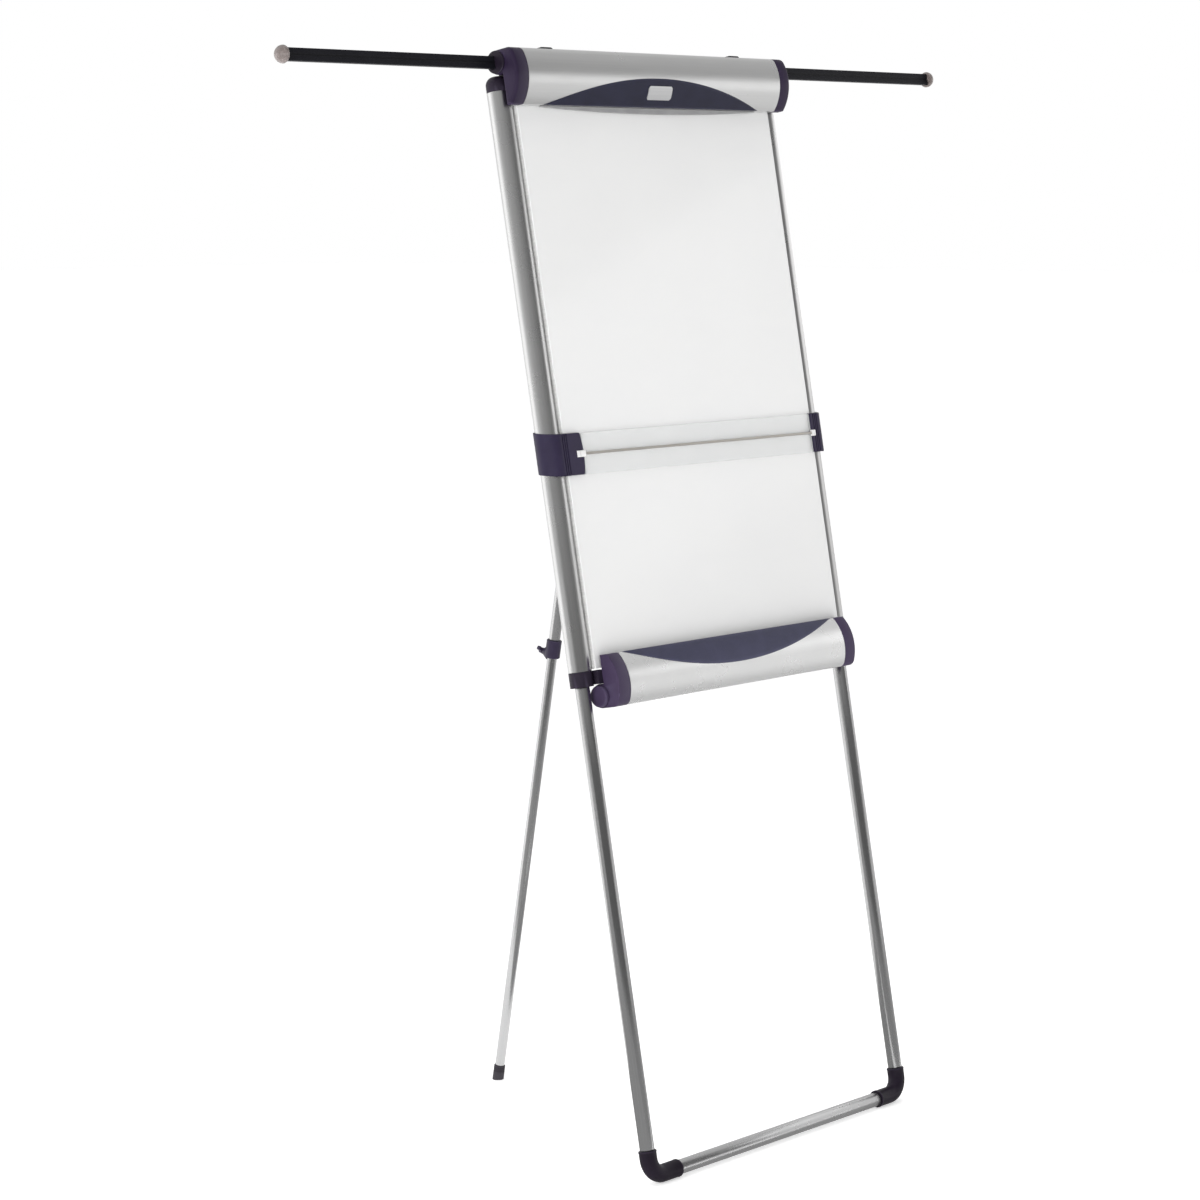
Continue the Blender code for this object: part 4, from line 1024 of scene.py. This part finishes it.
def finish_kept_nodes():
    for hand in ("left", "right"):
        keep("rail_cap_" + hand, AUBERGINE, 0.0008)
        keep("leg_collar_" + hand, AUBERGINE, 0.0007)
        keep("channel_bush_" + hand, AUBERGINE, 0.0004)
        keep("leg_plug_" + hand, AUBERGINE, 0)
        keep("arm_stop_" + hand, BLACK, 0.0004)
    keep("arm_channel", BAR_METAL, 0)
    keep("leg_hinge_bracket", PLUM, 0.0007)
    keep("hinge_pin", STEEL, 0.0004)
    keep("rear_knuckle", PLUM, 0.0005)
    keep("rear_tube_plug", AUBERGINE, 0)


# --- camera, floor and light ---

CAMERA_AT = (-4.5842, -3.8426, 1.6326)
CAMERA_YAW, CAMERA_DIP, CAMERA_ROLL = radians(49.789), radians(7.653), radians(-0.211)
CAMERA_LENS = 101.82
CAMERA_SHIFT = (-0.01641, 0.04614)

FLOOR_HALF = 60
WHITE = (1, 1, 1, 1)

# Cards just above the floor: name, brightness, height, outline.
FLOOR_CARDS = (
    ("card_left", 0.42, 0.004, ((-0.3, -0.46), (-0.62, 0.6), (-14, 9.8), (-14, -10), (-5, -10))),
    ("card_front", 0.34, 0.005, ((-0.3, -0.46), (-4.99, -10), (4, -10), (0.9, -0.46))),
    # The dim card under the bar is a painted shadow: in reflections it stands for the bar's shadow on the
    # floor.
    ("card_painted_shadow_under_bar", 0.34, 0.0012, ((-0.5, -0.385), (0.6, -0.385), (0.6, 0.15), (-0.5, 0.15))),
    ("card_near_right", 0.44, 0.006, ((0.6, -0.46), (1.6, -1.9), (2.4, -1.6), (2.4, 0.5), (0.6, 0.5))),
    ("card_right_floor", 0.66, 0.003, ((0.9, -0.46), (4, -10), (30, -10), (30, 0.5), (0.9, 0.5))),
    ("card_back_floor", 1.45, 0.003, ((-0.9, 0.9), (-0.05, 0.9), (-9, 60), (-60, 60))))
# Upright cards: name, brightness, bottom, top, and the two ends on the floor.
WALL_CARDS = (
    ("card_front_wall", 0.14, 0, 1.2, ((-2.9, -0.55), (0.9, -2.9))),
    ("card_right_wall_low", 0.8, 0, 1.5, ((2.78, -3.18), (3.2, 1))),
    ("card_right_wall_high", 1.26, 1.5, 2.38, ((2.78, -3.18), (3.2, 1))))

# Brightness by direction, in degrees from +X, near the horizon and above it.
LOW_SKY = ((-180, 0.49), (-167, 0.47), (-151, 0.42), (-135, 0.39), (-103, 0.31), (-86, 0.28), (-68, 0.45),
           (-47, 1.00), (-20, 1.1), (40, 0.7), (90, 0.8), (108, 1.7), (130, 1.6), (140, 1.2), (150, 0.88),
           (158, 0.67), (166, 0.56), (176, 0.5))
HIGH_SKY = ((-180, 0.49), (-170, 0.46), (-154, 0.42), (-138, 0.38), (-120, 0.34), (-98, 0.27), (-70, 0.19),
            (-55, 0.11), (-46, 0.13), (-38, 0.4), (-20, 0.6), (20, 0.66), (85, 0.66), (105, 1.3), (130, 1.2),
            (140, 1.00), (150, 0.8), (166, 0.56), (176, 0.5))
SKY_CHANGES = (0.03, 0.15)

# Soft lights: name, place, size in metres, watts.
LIGHTS = (("front_key", (0.8, -4.6, 2), 3.2, 34), ("left_key", (-4.2, -1.2, 1.6), 2, 90),
          ("top_fill", (0.3, -0.6, 5), 3, 36))
LIT_POINT = Vector((0, 0, 1.1))


def build_camera():
    forward = cos(CAMERA_DIP)
    look = Vector((sin(CAMERA_YAW) * forward, cos(CAMERA_YAW) * forward, -sin(CAMERA_DIP)))
    level = Vector((cos(CAMERA_YAW), -sin(CAMERA_YAW), 0))
    upward = level.cross(look)
    right = level * cos(CAMERA_ROLL) + upward * sin(CAMERA_ROLL)
    up = upward * cos(CAMERA_ROLL) - level * sin(CAMERA_ROLL)
    data = bpy.data.cameras.new("camera")
    data.sensor_width = 36
    data.lens = CAMERA_LENS
    data.shift_x, data.shift_y = CAMERA_SHIFT
    data.clip_end = 200
    camera = linked("camera", data)
    camera.matrix_world = Matrix.Translation(CAMERA_AT) @ Matrix((right, up, -look)).transposed().to_4x4()
    bpy.context.scene.camera = camera


def stage(name, corners, dark, light, scale, detail, **constants):
    """A flat sheet that belongs to the studio, glowing white and very faintly clouded."""
    finish = Finish(name, Emission_Color=WHITE, **constants)
    finish.wire(Base_Color=finish.tint(finish.noise(scale, detail), (dark,) * 3, (light,) * 3))
    sheet = add(name, solid(corners, [list(range(len(corners)))]), Matrix.Identity(4), finish.material)
    return sheet


def build_floor():
    far = FLOOR_HALF
    corners = [(-far, -far, 0), (far, -far, 0), (far, far, 0), (-far, far, 0)]
    stage("floor", corners, 0.9, 0.92, 0.8, 2, Roughness=0.6, Specular_IOR_Level=0.2, Emission_Strength=0.5)


def build_cards():
    """Plain studio cards that only reflections see; the dim one under the bar is a painted shadow."""
    cards = []
    for name, bright, height, outline in FLOOR_CARDS:
        cards.append((name, bright, [(x, y, height) for x, y in outline]))
    for name, bright, low, high, (first, last) in WALL_CARDS:
        cards.append((name, bright, [(*first, low), (*last, low), (*last, high), (*first, high)]))
    for name, bright, corners in cards:
        card = stage(name, corners, 0.01, 0.02, 0.5, 1, Roughness=1, Emission_Strength=bright)
        card.visible_camera = card.visible_diffuse = card.visible_shadow = card.visible_transmission = False


def build_sky():
    """White for the camera; for everything else, a grey that changes round the vertical."""
    world = bpy.data.worlds.new("studio")
    bpy.context.scene.world = world
    world.use_nodes = True
    world.node_tree.nodes.clear()
    sky = Nodes(world.node_tree)
    way = sky.node("SeparateXYZ", sky.node("TexCoord").outputs["Generated"]).outputs
    angle = sky.node("Math", way["Y"], way["X"])
    angle.operation = "ARCTAN2"
    share = sky.between(angle.outputs[0], 0, 1, -pi, pi)
    greys = []
    for stops in (LOW_SKY, HIGH_SKY):
        ramp = sky.node("ValToRGB", share)
        elements = ramp.color_ramp.elements
        while len(elements) < len(stops):
            elements.new(0.5)
        for element, (degrees, grey) in zip(elements, stops):
            element.position = (degrees + 180) / 360
            element.color = (grey, grey, grey, 1)
        greys.append(ramp.outputs[0])
    soft = sky.node("Background", sky.tint(way["Z"], *greys, *SKY_CHANGES)).outputs[0]
    white = sky.node("Background", WHITE).outputs[0]
    mix = sky.node("MixShader", sky.node("LightPath").outputs["Is Camera Ray"], soft, white)
    sky.node("OutputWorld", mix.outputs[0])


def build_lights():
    for name, place, size, watts in LIGHTS:
        data = bpy.data.lights.new(name, "AREA")
        data.shape, data.size, data.energy = "SQUARE", size, watts
        light = linked(name, data)
        light.location = place
        light.rotation_euler = (LIT_POINT - Vector(place)).to_track_quat("-Z", "Y").to_euler()
        light.visible_camera = light.visible_glossy = False


build_camera()
build_floor()
build_sky()
build_lights()
build_cards()
build_rails()
build_board()
build_crossbar()
build_tray()
build_header()
build_front_legs()
build_leg_clamps()
build_rear_leg()
build_arms()
build_rule()
finish_kept_nodes()

view = bpy.context.scene.view_settings
view.view_transform = "Standard"
view.look = "None"
